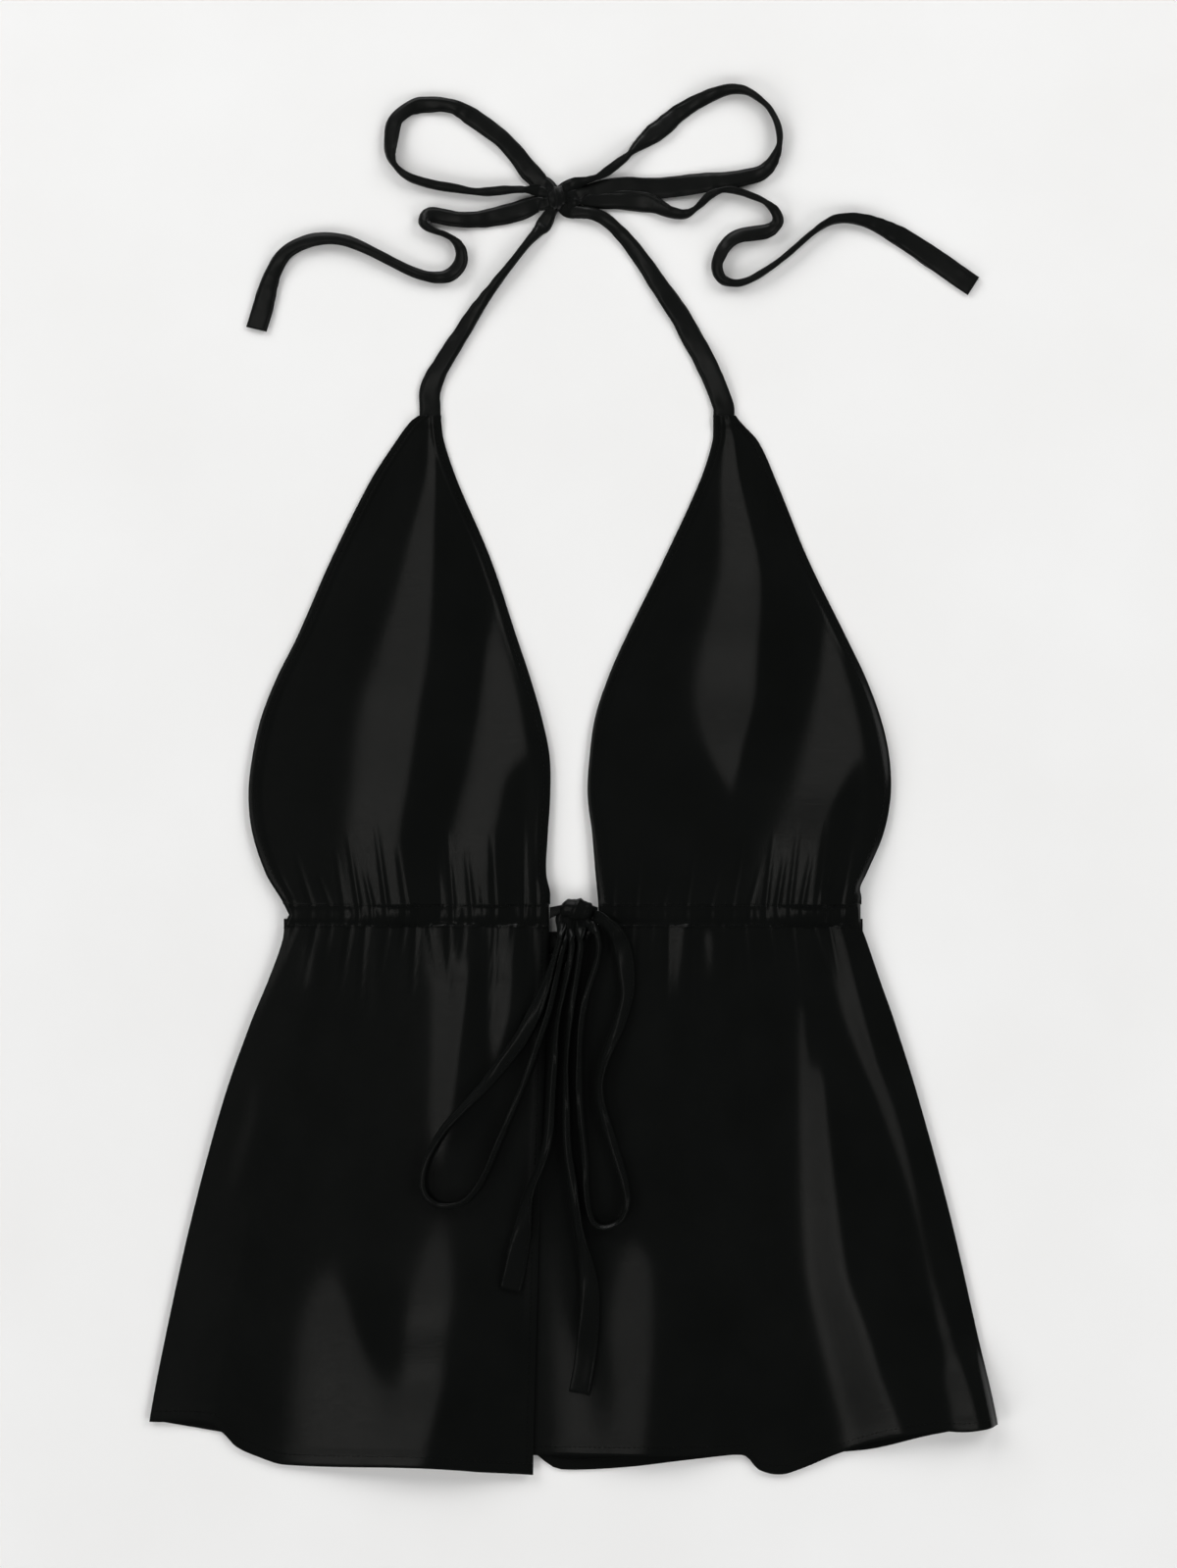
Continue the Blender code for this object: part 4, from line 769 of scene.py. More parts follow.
PEPLUM_RIGHT_FOLDS = [
    Rise(0.155, [(-166, -13, -12), (-178, -14, -9), (-192, -14.5, -5), (-215, -14, -2), (-235, -13, 4),
                 (-250, -12.5, 14), (-330, -10, 14)]),
    Sink([(20, -12, 0, 1), (-166, -12, 0, 1), (-192, -5, 9, 1), (-215, -2, 14, 1), (-240, 5, 15, 0.8),
          (-265, 12, 20, 0.57), (-295, 13, 22, 0.3), (-330, 13, 22, 0)]),
    Rise(0.155, [(-176, 36, 37), (-184, 31, 47), (-192, 28, 52), (-222, 19.5, 54.3), (-238, 14.5, 55),
                 (-262, 14, 54), (-330, 14, 49)]),
    Rise(0.205, [(20, 61, 69.5), (-2, 61, 69), (-18, 61, 66), (-34, 62, 63)]),
    Sink([(20, 69.5, 77, 1), (-34, 63, 76, 1), (-80, 63, 76, 1), (-150, 50, 76, 1), (-176, 38, 76, 1),
          (-192, 52, 84, 1), (-238, 55, 95, 1), (-330, 49, 95, 1)]),
    Rise(0.185, [(10, 80, 84), (2, 80, 86.5), (-14, 82, 86), (-22, 84, 85)]),
    Sink([(20, 86, 96, 1), (-60, 86, 96, 1), (-330, 96, 100, 1)]),
    Rise(0.21, [(-32, 137.7, 138.5), (-62, 137.7, 152), (-92, 137.7, 155.5), (-122, 137.7, 158.7),
                (-162, 138.3, 163.5), (-202, 141, 170), (-235, 148.5, 182), (-262, 155, 190.5),
                (-292, 163, 202), (-330, 170, 214)]),
    Sink([(20, 143, 147, 0), (-32, 143, 147, 0), (-44, 143, 147, 0.8), (-70, 144.5, 147.5, 0.4),
          (-84, 146, 148, 0), (-330, 146, 148, 0)]),
    Sink([(20, 138, 150, 1), (-32, 138.5, 158, 1), (-62, 152, 168, 1), (-92, 155.5, 182, 1),
          (-122, 158.7, 192, 1), (-162, 163.5, 205, 1), (-202, 170, 214, 1), (-235, 182, 222, 1),
          (-262, 190.5, 226, 0.8), (-292, 202, 230, 0.7), (-330, 214, 234, 0.7)]),
    Rise(0.22, [(20, 156, 161), (2, 157, 167), (-24, 160, 175), (-45, 165, 181), (-72, 175, 189),
                (-108, 189.5, 201.3), (-145, 202, 210.3), (-189, 212, 218.5), (-222, 217.5, 228),
                (-255, 222, 241), (-292, 227, 252), (-330, 231, 262)]),
    Sink([(20, 161, 170, 1), (2, 167, 177, 1), (-24, 175, 182, 1), (-45, 181, 188, 1), (-72, 189, 196, 1),
          (-108, 201.3, 210, 1), (-145, 210.3, 222, 1), (-189, 218.5, 234, 1), (-222, 228, 244, 1),
          (-255, 241, 253, 1), (-292, 252, 262, 1), (-330, 262, 272, 1)]),
    Rise(0.19, [(-236, 205, 206), (-262, 206, 222), (-292, 208, 226), (-330, 212, 232)]),
    Rise(0.225, [(8, 177.5, 180), (-22, 182, 185.5), (-62, 191, 194.5), (-102, 201, 202)])]
print("folds on the fronts:", len(PEPLUM_LEFT_FOLDS + PEPLUM_RIGHT_FOLDS))


# %% Height of the folds
LEAD, TAIL = 0.20, 0.12     # how far a Rise starts before its valley line and ends after its crest line


def fold_height(folds, x, y):
    """How high a panel's folds lift the cloth at each point, working across it from the left."""
    height = np.zeros_like(x)
    for fold in folds:
        rows = sorted(fold.rows)
        near, far = curve(rows, y, 1), curve(rows, y, 2)
        width = np.maximum(far - near, 0.01)
        inside = (y >= rows[0][0]) & (y <= rows[-1][0])
        if isinstance(fold, Rise):
            whole = width * (1 + LEAD + TAIL)
            across = np.clip((x - near + LEAD * width) / whole, 0, 1)
            lead, tail = 2 * LEAD / (1 + LEAD + TAIL), 2 * TAIL / (1 + LEAD + TAIL)
            climb = np.where(across < lead, across ** 2 / (2 * lead), across - lead / 2)
            climb = climb - np.clip(across - 1 + tail, 0, None) ** 2 / (2 * tail)
            height += np.where(inside, fold.tilt * whole * climb, 0.0)
        else:
            across = np.clip((x - near) / width, 0, 1)
            height *= 1 - np.where(inside, np.clip(curve(rows, y, 3), 0, 1) * across, 0.0)
    return height


def soften(height, times):
    """Blend each grid point with its neighbours, which rounds a sharp crease."""
    for _ in range(times):
        padded = np.pad(height, 1, mode="edge")
        height = (padded[1:-1, :-2] + 2 * padded[1:-1, 1:-1] + padded[1:-1, 2:]) / 4
        padded = np.pad(height, 1, mode="edge")
        height = (padded[:-2, 1:-1] + 2 * padded[1:-1, 1:-1] + padded[2:, 1:-1]) / 4
    return height


print("a 30 mm band of sheen is a fold about", round(0.15 * 30, 1), "mm high")

# %% [markdown]
# ## Gathers
# Where a wide edge is drawn up on to a shorter one, small pleats stand close together and die out at
# different lengths. A sine wave would look like corrugated iron. Here the cloth beside the seam stands up a
# little, and narrow troughs part it into gathers. Each trough is a row of a table, with its own place,
# slant, length, width and depth: deep where the cloth is loose, and faint where it is pulled flat.


# %% Gathers: x at the seam, x at the tip, length, half width, depth
BIB_LEFT_GATHERS = [
    (-171, -180.8, 23, 2.6, 0.25), (-160, -169.8, 32, 3, 0.25), (-149, -156, 20, 2.4, 0.2),
    (-140, -145.6, 35, 2.4, 0.3), (-131, -138, 44, 2.64, 0.69), (-123, -128.6, 26, 2.4, 0.62),
    (-114, -121, 52, 2.88, 0.75), (-102, -107.6, 38, 2.64, 0.62), (-93, -95.8, 49, 2.2, 0.3),
    (-81, -83.8, 32, 2.64, 0.56), (-73.5, -77, 46, 2.4, 0.75), (-62, -65.5, 35, 2.88, 0.69),
    (-55, -56.4, 17, 1.8, 0.4), (-48, -50.1, 44, 2.64, 0.75), (-39, -41.1, 29, 2, 0.3),
    (-30, -30.7, 58, 2.4, 0.69), (-22.5, -22.5, 41, 2.16, 0.62)]
BIB_RIGHT_GATHERS = [
    (24, 25.4, 20, 2.4, 0.2), (38, 40.8, 29, 2.8, 0.2), (55, 59.2, 17, 2.4, 0.2), (69, 74.6, 35, 2.6, 0.25),
    (84, 89.6, 23, 2.4, 0.25), (97, 104, 41, 2.6, 0.3), (108, 115, 26, 2, 0.35),
    (117.5, 122.4, 44, 2.28, 0.69), (124.5, 129.4, 32, 2.4, 0.75), (132, 137.6, 49, 2.4, 0.62),
    (139.5, 145.8, 35, 2.64, 0.69), (148.5, 154.8, 52, 2.28, 0.62), (155, 162, 29, 2.28, 0.62),
    (163, 170, 38, 2.4, 0.62), (170.5, 179.6, 26, 1.8, 0.4)]
PEPLUM_LEFT_GATHERS = [
    (-170, -179.8, 29, 2.6, 0.3), (-157, -165.4, 41, 2.6, 0.3), (-148, -153.6, 26, 2.2, 0.25),
    (-136, -143, 44, 2.6, 0.35), (-127, -131.2, 52, 2.2, 0.45), (-113, -118.6, 35, 2.4, 0.3),
    (-103, -105.8, 23, 2, 0.35), (-96, -98.8, 44, 2.2, 0.5), (-88, -82.4, 32, 1.8, 0.5),
    (-76, -75.3, 49, 2.6, 0.5), (-67, -68.4, 29, 1.8, 0.4), (-57, -59.8, 75, 2.4, 0.5),
    (-47.5, -48.9, 65, 1.8, 0.5), (-36.5, -38.6, 23, 1.8, 0.5), (-29, -30.4, 87, 2.6, 0.5),
    (-19.5, -20.9, 29, 1.8, 0.4)]
PEPLUM_RIGHT_GATHERS = [
    (24, 21.2, 26, 2.4, 0.3), (36, 33.2, 38, 2.6, 0.3), (48, 45.9, 23, 2.2, 0.25), (58, 56.6, 55, 2.6, 0.4),
    (73, 71.6, 58, 2.4, 0.45), (90, 91.4, 32, 2.4, 0.35), (104, 108.2, 44, 2.4, 0.3),
    (119, 123.2, 29, 2.2, 0.3), (133, 138.6, 49, 2.4, 0.35), (146, 154.4, 26, 2.2, 0.4),
    (156, 164.4, 41, 2.2, 0.45), (168, 179.2, 49, 2, 0.5), (174, 183.8, 26, 1.8, 0.35)]
FULL_AT_SEAM, FULL_FOR = 0.9, 90.0      # how high gathered cloth stands at its seam, and how far from it


def gather_height(gathers, x, distance):
    """Cloth stands a little full beside its seam, and narrow troughs part it into gathers."""
    height = FULL_AT_SEAM * np.clip(1 - distance / FULL_FOR, 0, 1) ** 2
    for seam_x, tip_x, length, half_width, depth in gathers:
        along = np.clip(distance / length, 0, 1)
        middle = seam_x + (tip_x - seam_x) * along
        reach = np.clip(np.abs(x - middle) / (half_width * (1 - 0.35 * along)), 0, 1)
        height -= depth * (1 - along) ** 0.7 * (1 + np.cos(np.pi * reach)) / 2
    return height


print("gathers on the bibs:", len(BIB_LEFT_GATHERS), "and", len(BIB_RIGHT_GATHERS))

# %% [markdown]
# ## From tables to cloth
# The grid has extra lines beside the edges, where a hem is rounded. A narrow hem is turned along the free
# edges: two more layers, so the band stands a little higher, with a shallow groove where the stitches pull.
# The under face follows the folds too, so the wall stays thin like real cloth, and rests flat in between.

# %% Panels
Panel = namedtuple("Panel", "edges seam far_edge base folds gathers hem step")
Cloth = namedtuple("Cloth", "panel u_lines v_lines top")
LAYER = 0.8                 # one layer of satin with its small fullness
HEM_LAYERS = 0.24           # what a turned hem adds
SIDE_HEM = 5.4              # the width of the hem along a side edge
STITCH_INSET = 1.3          # how far a hem's stitches run from its inner edge
FULLNESS = 1.3              # a panel's cut width as a share of its gathered width
CREASE_ROUNDING = 4         # how often every crease is softened
LOOSE_ROUNDING = 18         # how often the creases of loose cloth are softened once more
LOOSENESS = 0.6             # how loose a bib lies
PANELS = {
    "bib_left": Panel(BIB_LEFT_EDGES, BIB_SEAM, BIB_END, bib_base,
                      BIB_LEFT_FOLDS, BIB_LEFT_GATHERS, 0, 1.5),
    "bib_right": Panel(BIB_RIGHT_EDGES, BIB_SEAM, BIB_END, bib_base,
                       BIB_RIGHT_FOLDS, BIB_RIGHT_GATHERS, 0, 1.5),
    "peplum_back": Panel(PEPLUM_BACK_EDGES, BACK_SEAM, PEPLUM_BACK_HEM, back_base, [], [], 8, 4.0),
    "peplum_front_right": Panel(PEPLUM_RIGHT_EDGES, PEPLUM_SEAM, PEPLUM_RIGHT_HEM, front_base,
                                PEPLUM_RIGHT_FOLDS, PEPLUM_RIGHT_GATHERS, 6.5, 1.9),
    "peplum_front_left": Panel(PEPLUM_LEFT_EDGES, PEPLUM_SEAM, PEPLUM_LEFT_HEM, lapped_base,
                               PEPLUM_LEFT_FOLDS, PEPLUM_LEFT_GATHERS, 8, 1.9)}
print("panels:", ", ".join(PANELS))


# %% Grids on a panel
def grid_lines(length, step):
    """Even places from 0 to 1 along a length, with closer ones beside both ends."""
    rim = np.array([0.0, 0.4, 1.0, 1.8]) / length
    inner = np.linspace(2.8 / length, 1 - 2.8 / length, round(length / step))
    return np.concatenate([rim, inner, 1 - rim[::-1]])


def place(panel, u, v):
    """Where points of a panel lie on the table."""
    seam_y = curve(panel.seam, u)
    y = seam_y + (curve(panel.far_edge, u) - seam_y) * v
    centre_x, side_x = curve(panel.edges, y, 1), curve(panel.edges, y, 2)
    return centre_x + (side_x - centre_x) * u, y, np.abs(side_x - centre_x)


def spot_on(panel, u, v):
    """x, y and the panel's width at one point of a panel, as plain numbers."""
    return [float(row[0]) for row in place(panel, np.array([u]), np.array([v]))]


def panel_length(panel, u):
    """How far it is from a panel's seam to its far edge."""
    return abs(float(curve(panel.far_edge, u)) - float(curve(panel.seam, u)))


print("the left front is", round(panel_length(PANELS["peplum_front_left"], 0.5)), "mm long at its middle")


# %% Hems and shells
def hem_height(distance, width):
    """Two more layers within a hem's width, a groove at its stitching, and a rounded edge."""
    band = 1 - smooth((distance - width) / 2.4)
    groove = np.exp(-((distance - width + STITCH_INSET) / 0.7) ** 2)
    edge = 1 - smooth(distance / 1.3)
    return HEM_LAYERS * band - 0.06 * groove - 0.45 * edge


def shell(name, x, y, top, low, uvs, material):
    """A closed shell between two grids of heights."""
    rows, columns = x.shape
    points = np.concatenate([np.stack([x, y, z], -1).reshape(-1, 3) for z in (top, low)])
    index = np.arange(rows * columns).reshape(rows, columns)
    a, b, c, d = index[:-1, :-1], index[:-1, 1:], index[1:, 1:], index[1:, :-1]
    rim = np.concatenate([index[0, :-1], index[:-1, -1], index[-1, :0:-1], index[:0:-1, 0]])
    ahead = np.roll(rim, -1)
    under = rows * columns
    upper = np.stack([a, b, c, d], -1).reshape(-1, 4)
    lower = upper[:, ::-1] + under
    wall = np.stack([ahead, rim, rim + under, ahead + under], -1)
    faces = np.concatenate([upper, lower, wall])
    if (x[0, -1] - x[0, 0]) * (y[-1, 0] - y[0, 0]) < 0:
        faces = faces[:, ::-1]
    return plain_mesh(name, points * MM, faces.tolist(), np.concatenate([uvs, uvs]), material)


print("a hem stands up by", round(float(hem_height(2.5, SIDE_HEM)), 2), "mm")


# %% Make the panels
def make_panel(name):
    """One cloth panel as a thin shell, kept with its grid so that other pieces can rest on it."""
    panel = PANELS[name]
    length = panel_length(panel, 0.5)
    v_lines = grid_lines(length, panel.step)
    u_lines = grid_lines(spot_on(panel, 0.5, 0.25)[2], panel.step)
    u, v = np.meshgrid(u_lines, v_lines)
    x, y, widths = place(panel, u, v)
    seam_distance = np.abs(y - curve(panel.seam, u))
    folds = soften(fold_height(panel.folds, x, y), CREASE_ROUNDING)
    looser = LOOSENESS
    if name.startswith("peplum"):       # loose towards the hem, but crisp along the right side
        looser = smooth((-70 - y) / 130) * smooth((150 - x) / 30)
    folds = folds + (soften(folds, LOOSE_ROUNDING) - folds) * looser
    if panel.gathers:
        folds = folds + gather_height(panel.gathers, x, seam_distance)
        folds = folds * smooth(u * widths / 7 + 0.25) * smooth((1 - u) * widths / 7 + 0.25)
    low = panel.base(x, y) + np.maximum(folds, 0)
    far = np.abs(curve(panel.far_edge, u) - y)
    hems = hem_height(u * widths, SIDE_HEM) if name != "peplum_back" else np.zeros_like(u)
    if name.startswith("bib"):
        hems = np.maximum(hems, hem_height((1 - u) * widths, SIDE_HEM))
    if panel.hem:
        hems = np.maximum(hems, hem_height(far, panel.hem))
    hems = np.where(seam_distance < 2, np.minimum(hems, 0), hems)      # no hem at the seam
    top = low + LAYER + hems
    cloths[name] = Cloth(panel, u_lines, v_lines, top)
    uvs = np.stack([u * widths.mean() * FULLNESS, v * length], -1).reshape(-1, 2) * MM
    piece = shell(name + "_cloth", x, y, top, low, uvs, black_satin)
    print(name, "cloth:", x.shape, "grid, highest", round(float(top.max()), 1), "mm")
    return piece


cloths, pieces = {}, {}
for name in PANELS:
    pieces[name] = make_panel(name)

# %% [markdown]
# ## The waist casings
# A casing is a channel of the same cloth with a drawstring in it. The drawstring draws it up, so it is full
# of small upright puckers and bulges along its middle. Its two long edges are held down by stitching. Each
# casing is a fine grid again, with a rounded profile across and uneven puckers along it.


# %% Casings
ACROSS_CASING = (0, 0.03, 0.07, 0.12, 0.18, 0.26, 0.36, 0.5, 0.64, 0.74, 0.82, 0.88, 0.93, 0.97, 1.0)
CASING_STEP = 0.9           # millimetres between the grid's lines along a casing
TOP_ROW, FOOT_ROW = 0.88, 0.07          # where a casing's two rows of stitches run, up its height
TOP_MEETS, FOOT_MEETS = 0.72, 0.17      # where a casing starts to meet the panels that it is sewn to
CASING_FULLNESS = 1.6       # a casing's cloth as a share of its drawn-up length


def front_waist(x):
    """Height up the table of a front casing's top edge."""
    return np.full_like(x, WAIST_TOP)


def ruching(count, phase, u, up):
    """Small upright puckers along a casing, uneven in place, slant and height."""
    height = np.zeros_like(u)
    for i in range(count):
        slant = 0.5 * math.sin(5.1 * i + phase) * (up - 0.5)
        middle = (i + 0.5 + 0.3 * math.sin(2.9 * i + phase) + slant) / count
        reach = np.clip(np.abs(u - middle) * count / 0.62, 0, 1)
        size = 0.62 + 0.38 * math.sin(1.9 * i + 3 * phase)
        height += size * (1 + np.cos(np.pi * reach)) / 2
    return height


def gathered_edge(name, x, y):
    """How high a panel's folds and gathers stand along its seam."""
    panel = PANELS[name]
    height = fold_height(panel.folds, x, np.full_like(x, y)) + gather_height(panel.gathers, x, 0.0)
    return np.maximum(height, 0)


def make_casing(name, start_x, end_x, top_y, low_z, thick, puckers, phase, fullness, pinch=0.0,
                sewn_to=None):
    """A flat channel with a bulge and puckers, whose long edges meet the two panels that it is sewn to."""
    length = abs(end_x - start_x)
    u, v = np.meshgrid(grid_lines(length, CASING_STEP), np.array(ACROSS_CASING))
    drawn_in = pinch * (1 - np.abs(2 * v - 1))
    x = start_x + (end_x + drawn_in - start_x) * u
    y = top_y(x) - CASING_DEPTH * (1 - v)
    profile = 0.14 + 0.40 * np.sin(np.pi * v) ** 0.7
    held = 0.08 * np.exp(-((v - 0.86) / 0.03) ** 2)
    ends = smooth(u * length / 3 + 0.3) * smooth((1 - u) * length / 3 + 0.3)
    strength = np.interp(u, *zip(*fullness)) * (0.55 + 0.45 * np.sin(np.pi * v))
    low = np.full_like(x, low_z)
    lift = (0.22 if sewn_to else 0.45) * strength * ruching(puckers, phase, u, v)
    top = low_z + thick * (profile - held) * (0.6 + 0.4 * ends) + lift
    if sewn_to:
        over, below = gathered_edge(sewn_to[0], x, 25.0), gathered_edge(sewn_to[1], x, 12.0)
        top += over * ends * (0.35 + 0.4 * v)
        meet = smooth((v - TOP_MEETS) / 0.26)
        top = top * (1 - meet) + (OVER_CASING + LAYER + over * ends) * meet
        edge = smooth((FOOT_MEETS - v) / FOOT_MEETS)
        top = top * (1 - edge) + (OVER_CASING + LAYER + 0.15 + below * ends) * edge
        low = low + 0.8 * edge
        y = y - edge * (0.9 + 0.5 * np.sin(x / 2.1 + phase) * np.sin(x / 5.3))
    uvs = np.stack([u * length * CASING_FULLNESS, v * CASING_DEPTH], -1).reshape(-1, 2) * MM
    casing_tops[name] = (v, x, y, top)
    pieces[name] = shell(name + "_cloth", x, y, top, low, uvs, gathered_satin)
    print(name, "has", puckers, "puckers, highest", round(float(top.max()), 1), "mm")


casing_tops = {}
make_casing("casing_front_left", CASING_LEFT_MOUTH, -WAIST_HALF, front_waist, OVER_CASING, CASING_FRONT_THICK,
            40, 0.7, [(0, 1), (0.75, 1), (0.79, 0.2), (1, 0.2)], pinch=3.4,
            sewn_to=("bib_left", "peplum_front_left"))
make_casing("casing_front_right", CASING_RIGHT_MOUTH, 175.4, front_waist, OVER_CASING, CASING_FRONT_THICK,
            40, 2.2, [(0, 0.25), (0.55, 0.25), (0.6, 1), (0.96, 1), (1, 0.5)],
            sewn_to=("bib_right", "peplum_front_right"))
make_casing("casing_back", -WAIST_HALF, WAIST_HALF, back_waist, 0.0, CASING_BACK_THICK,
            52, 1.4, [(0, 0.7), (1, 0.7)])

# %% [markdown]
# ## What the waist bow lies on
# The drawstring's bow lies on the peplum, folds and all. To rest on it, each station of a tie asks how high
# the cloth is under its middle and its two edges. The answer is read from the panel's own grid, so the tie
# follows the finished folds and not the plain model under them.


# %% Height of the fronts
def on_cloth(cloth, u, v):
    """Height of a panel at a place u, v, between its grid's points."""
    i = int(np.clip(np.searchsorted(cloth.v_lines, v) - 1, 0, len(cloth.v_lines) - 2))
    k = int(np.clip(np.searchsorted(cloth.u_lines, u) - 1, 0, len(cloth.u_lines) - 2))
    s = (v - cloth.v_lines[i]) / (cloth.v_lines[i + 1] - cloth.v_lines[i])
    t = (u - cloth.u_lines[k]) / (cloth.u_lines[k + 1] - cloth.u_lines[k])
    corners = cloth.top[i:i + 2, k:k + 2]
    return float((corners[0, 0] * (1 - t) + corners[0, 1] * t) * (1 - s)
                 + (corners[1, 0] * (1 - t) + corners[1, 1] * t) * s)


BACK_CASING_FOOT = -6.0     # just below the back casing's lower edge at its middle
BESIDE = 0.8                # how far beyond its own edges a tie looks for cloth
HAIR = 0.15                 # the least room between a tie and the cloth under it


def top_of_fronts(x, y):
    """Height of whatever lies under a point of the waist bow."""
    top = CASING_BACK_THICK if y > BACK_CASING_FOOT else OVER_BACK
    for name in ("peplum_front_left", "peplum_front_right"):
        cloth = cloths[name]
        centre_x, side_x = (float(curve(cloth.panel.edges, y, column)) for column in (1, 2))
        u = (x - centre_x) / (side_x - centre_x)
        if -0.02 <= u <= 1 and y <= WAIST_SEAM:
            u = max(u, 0.0)
            seam_y, hem_y = float(curve(cloth.panel.seam, u)), float(curve(cloth.panel.far_edge, u))
            top = max(top, on_cloth(cloth, u, min(max((y - seam_y) / (hem_y - seam_y), 0.0), 1.0)))
    if y > WAIST_SEAM - GAP and not CASING_LEFT_MOUTH < x < CASING_RIGHT_MOUTH:
        top = OVER_CASING + CASING_FRONT_THICK
    return top


def bow_bed(x, y, roll, along, width):
    """The highest cloth under a tie's middle and edges, with a hair's clearance."""
    roll = math.radians(roll)
    half = (width * abs(math.cos(roll)) + TAPE_THICK * abs(math.sin(roll))) / 2 + BESIDE
    under = [top_of_fronts(x - along.y * half * side, y + along.x * half * side) for side in (-1, 0, 1)]
    return max(under) + HAIR


print("cloth under the bow, 100 mm down:", round(top_of_fronts(0, -88), 1), "mm")

# %% The waist bow
make_tape("waist_loop_left_tape", WAIST_LOOP_LEFT, Shape(7, 0.3, 0.35, -0.05),
          (WAIST_KNOT, 212), (WAIST_KNOT, 236), bow_bed)
make_tape("waist_loop_right_tape", WAIST_LOOP_RIGHT, Shape(8, 0.25, 0.5, -0.05),
          (WAIST_KNOT, 326), (WAIST_KNOT, 302), bow_bed)
make_tape("waist_tail_long_tape", WAIST_TAIL_LONG, Shape(9, 0.22, 0.6, -0.05),
          (WAIST_KNOT, 280), None, bow_bed)
make_tape("waist_tail_short_tape", WAIST_TAIL_SHORT, Shape(10, 0.22, 0.6, -0.05),
          (WAIST_KNOT, 255), None, bow_bed)

# %% [markdown]
# ## Knots and drawstring ends
# A bow's knot is one end of the tape wrapped once round the loops, so its folds run across it, from the
# table over the top and down again. A rounded lump with pleats in that direction shows a wrap without
# modelling a real hitch. The drawstring's two short stretches between the casings and the knot are
# squeezed tapes.


# %% Knots
KNOT_GRID = (26, 40)        # steps across a knot and around it
PLEATS, FINE_PLEATS = 8.5, 17.0         # how often the folds of a wrap repeat across a knot, in radians


def make_knot(name, knot, turn, material, swell=1.0):
    """A wrapped knot: pleats run over it, and its middle stands a little above its ends."""
    across, around = KNOT_GRID
    points, uvs = [], []
    for i in range(across + 1):
        s = -math.cos(math.pi * i / across)
        for k in range(around):
            angle = 2 * math.pi * k / around
            fold = 0.07 * math.cos(PLEATS * s + 0.5 * math.sin(angle))
            pleat = 0.90 + fold + 0.03 * math.cos(FINE_PLEATS * s + angle)
            ring = math.sqrt(max(1 - s * s, 0.0)) ** 0.8 * pleat
            a, b, c = s * 0.97, ring * math.cos(angle), ring * math.sin(angle)
            x = a * math.cos(turn) - b * math.sin(turn)
            y = a * math.sin(turn) + b * math.cos(turn)
            points.append(Vector((knot.x + knot.half_x * x * swell, knot.y + knot.half_y * y * swell,
                                  knot.z + knot.half_z * c)) * MM)
            uvs.append((s * knot.half_x * MM, angle * knot.half_y * MM))
    piece = plain_mesh(name, points, tube_faces(across, around, turned=True), uvs, material)
    merge_poles(piece)
    print(name, "has", len(piece.data.polygons), "faces")
    return piece


def merge_poles(piece):
    """Close the poles of a lump and point its faces out."""
    shape = bmesh.new()
    shape.from_mesh(piece.data)
    bmesh.ops.remove_doubles(shape, verts=shape.verts, dist=0.00002)
    bmesh.ops.recalc_face_normals(shape, faces=shape.faces)
    shape.to_mesh(piece.data)
    shape.free()


pieces["neck_knot"] = make_knot("neck_knot_wrap", NECK_KNOT, 0.35, pressed_tape_painted_sheen)
pieces["waist_knot"] = make_knot("waist_knot_wrap", WAIST_KNOT, -0.25, satin_tape, swell=1.22)

# %% Feeds
FEED_STEPS, FEED_LENGTH = 12, 12.0      # steps along a feed, and the millimetres of its cloth map
FEED_WIDTHS = (7.0, 4.2)    # at a casing's mouth and at the knot


def make_feed(name, mouth_x, knot, angle):
    """A squeezed stretch of drawstring between a casing's mouth and the knot."""
    x, y, _ = leave_knot(knot, angle, 0)
    mouth = Vector((mouth_x, WAIST_TOP - CASING_DEPTH / 2 + 1.0, OVER_CASING + CASING_FRONT_THICK / 2))
    inner = Vector((x, y, knot.z))
    points, uvs = [], []
    for i in range(FEED_STEPS + 1):
        t = i / FEED_STEPS
        centre = mouth.lerp(inner, t)
        tall = FEED_WIDTHS[0] + (FEED_WIDTHS[1] - FEED_WIDTHS[0]) * t
        for k, (a, h) in enumerate(TAPE_RING):
            crumple = 0.12 * math.sin(9 * a + 2.0) * (1 - a * a)
            points.append((centre + Vector((0, a * tall / 2, h * PINCH_THICK / 2 * 0.95 + crumple))) * MM)
            uvs.append((k * 0.8 * MM, t * FEED_LENGTH * MM))
    ring, turned = len(TAPE_RING), mouth.x >= inner.x
    faces = tube_faces(FEED_STEPS, ring, turned) + end_faces(FEED_STEPS, ring, turned)
    return plain_mesh(name, points, faces, uvs, satin_tape)


pieces["waist_feed_left"] = make_feed("waist_feed_left_tape", CASING_LEFT_MOUTH + GAP, WAIST_KNOT, 160)
pieces["waist_feed_right"] = make_feed("waist_feed_right_tape", CASING_RIGHT_MOUTH - GAP, WAIST_KNOT, 25)
print("feeds made:", sum(1 for name in pieces if "feed" in name))

# %% [markdown]
# ## Stitches
# Thousands of stitches by hand would be endless, so Geometry Nodes lay them: the tree resamples a line at
# the stitch pitch, puts one small thread on every point, turns it along the line, and makes it slightly
# uneven with a fixed seed. Real instances aren't kept, because a plain mesh can be used anywhere.

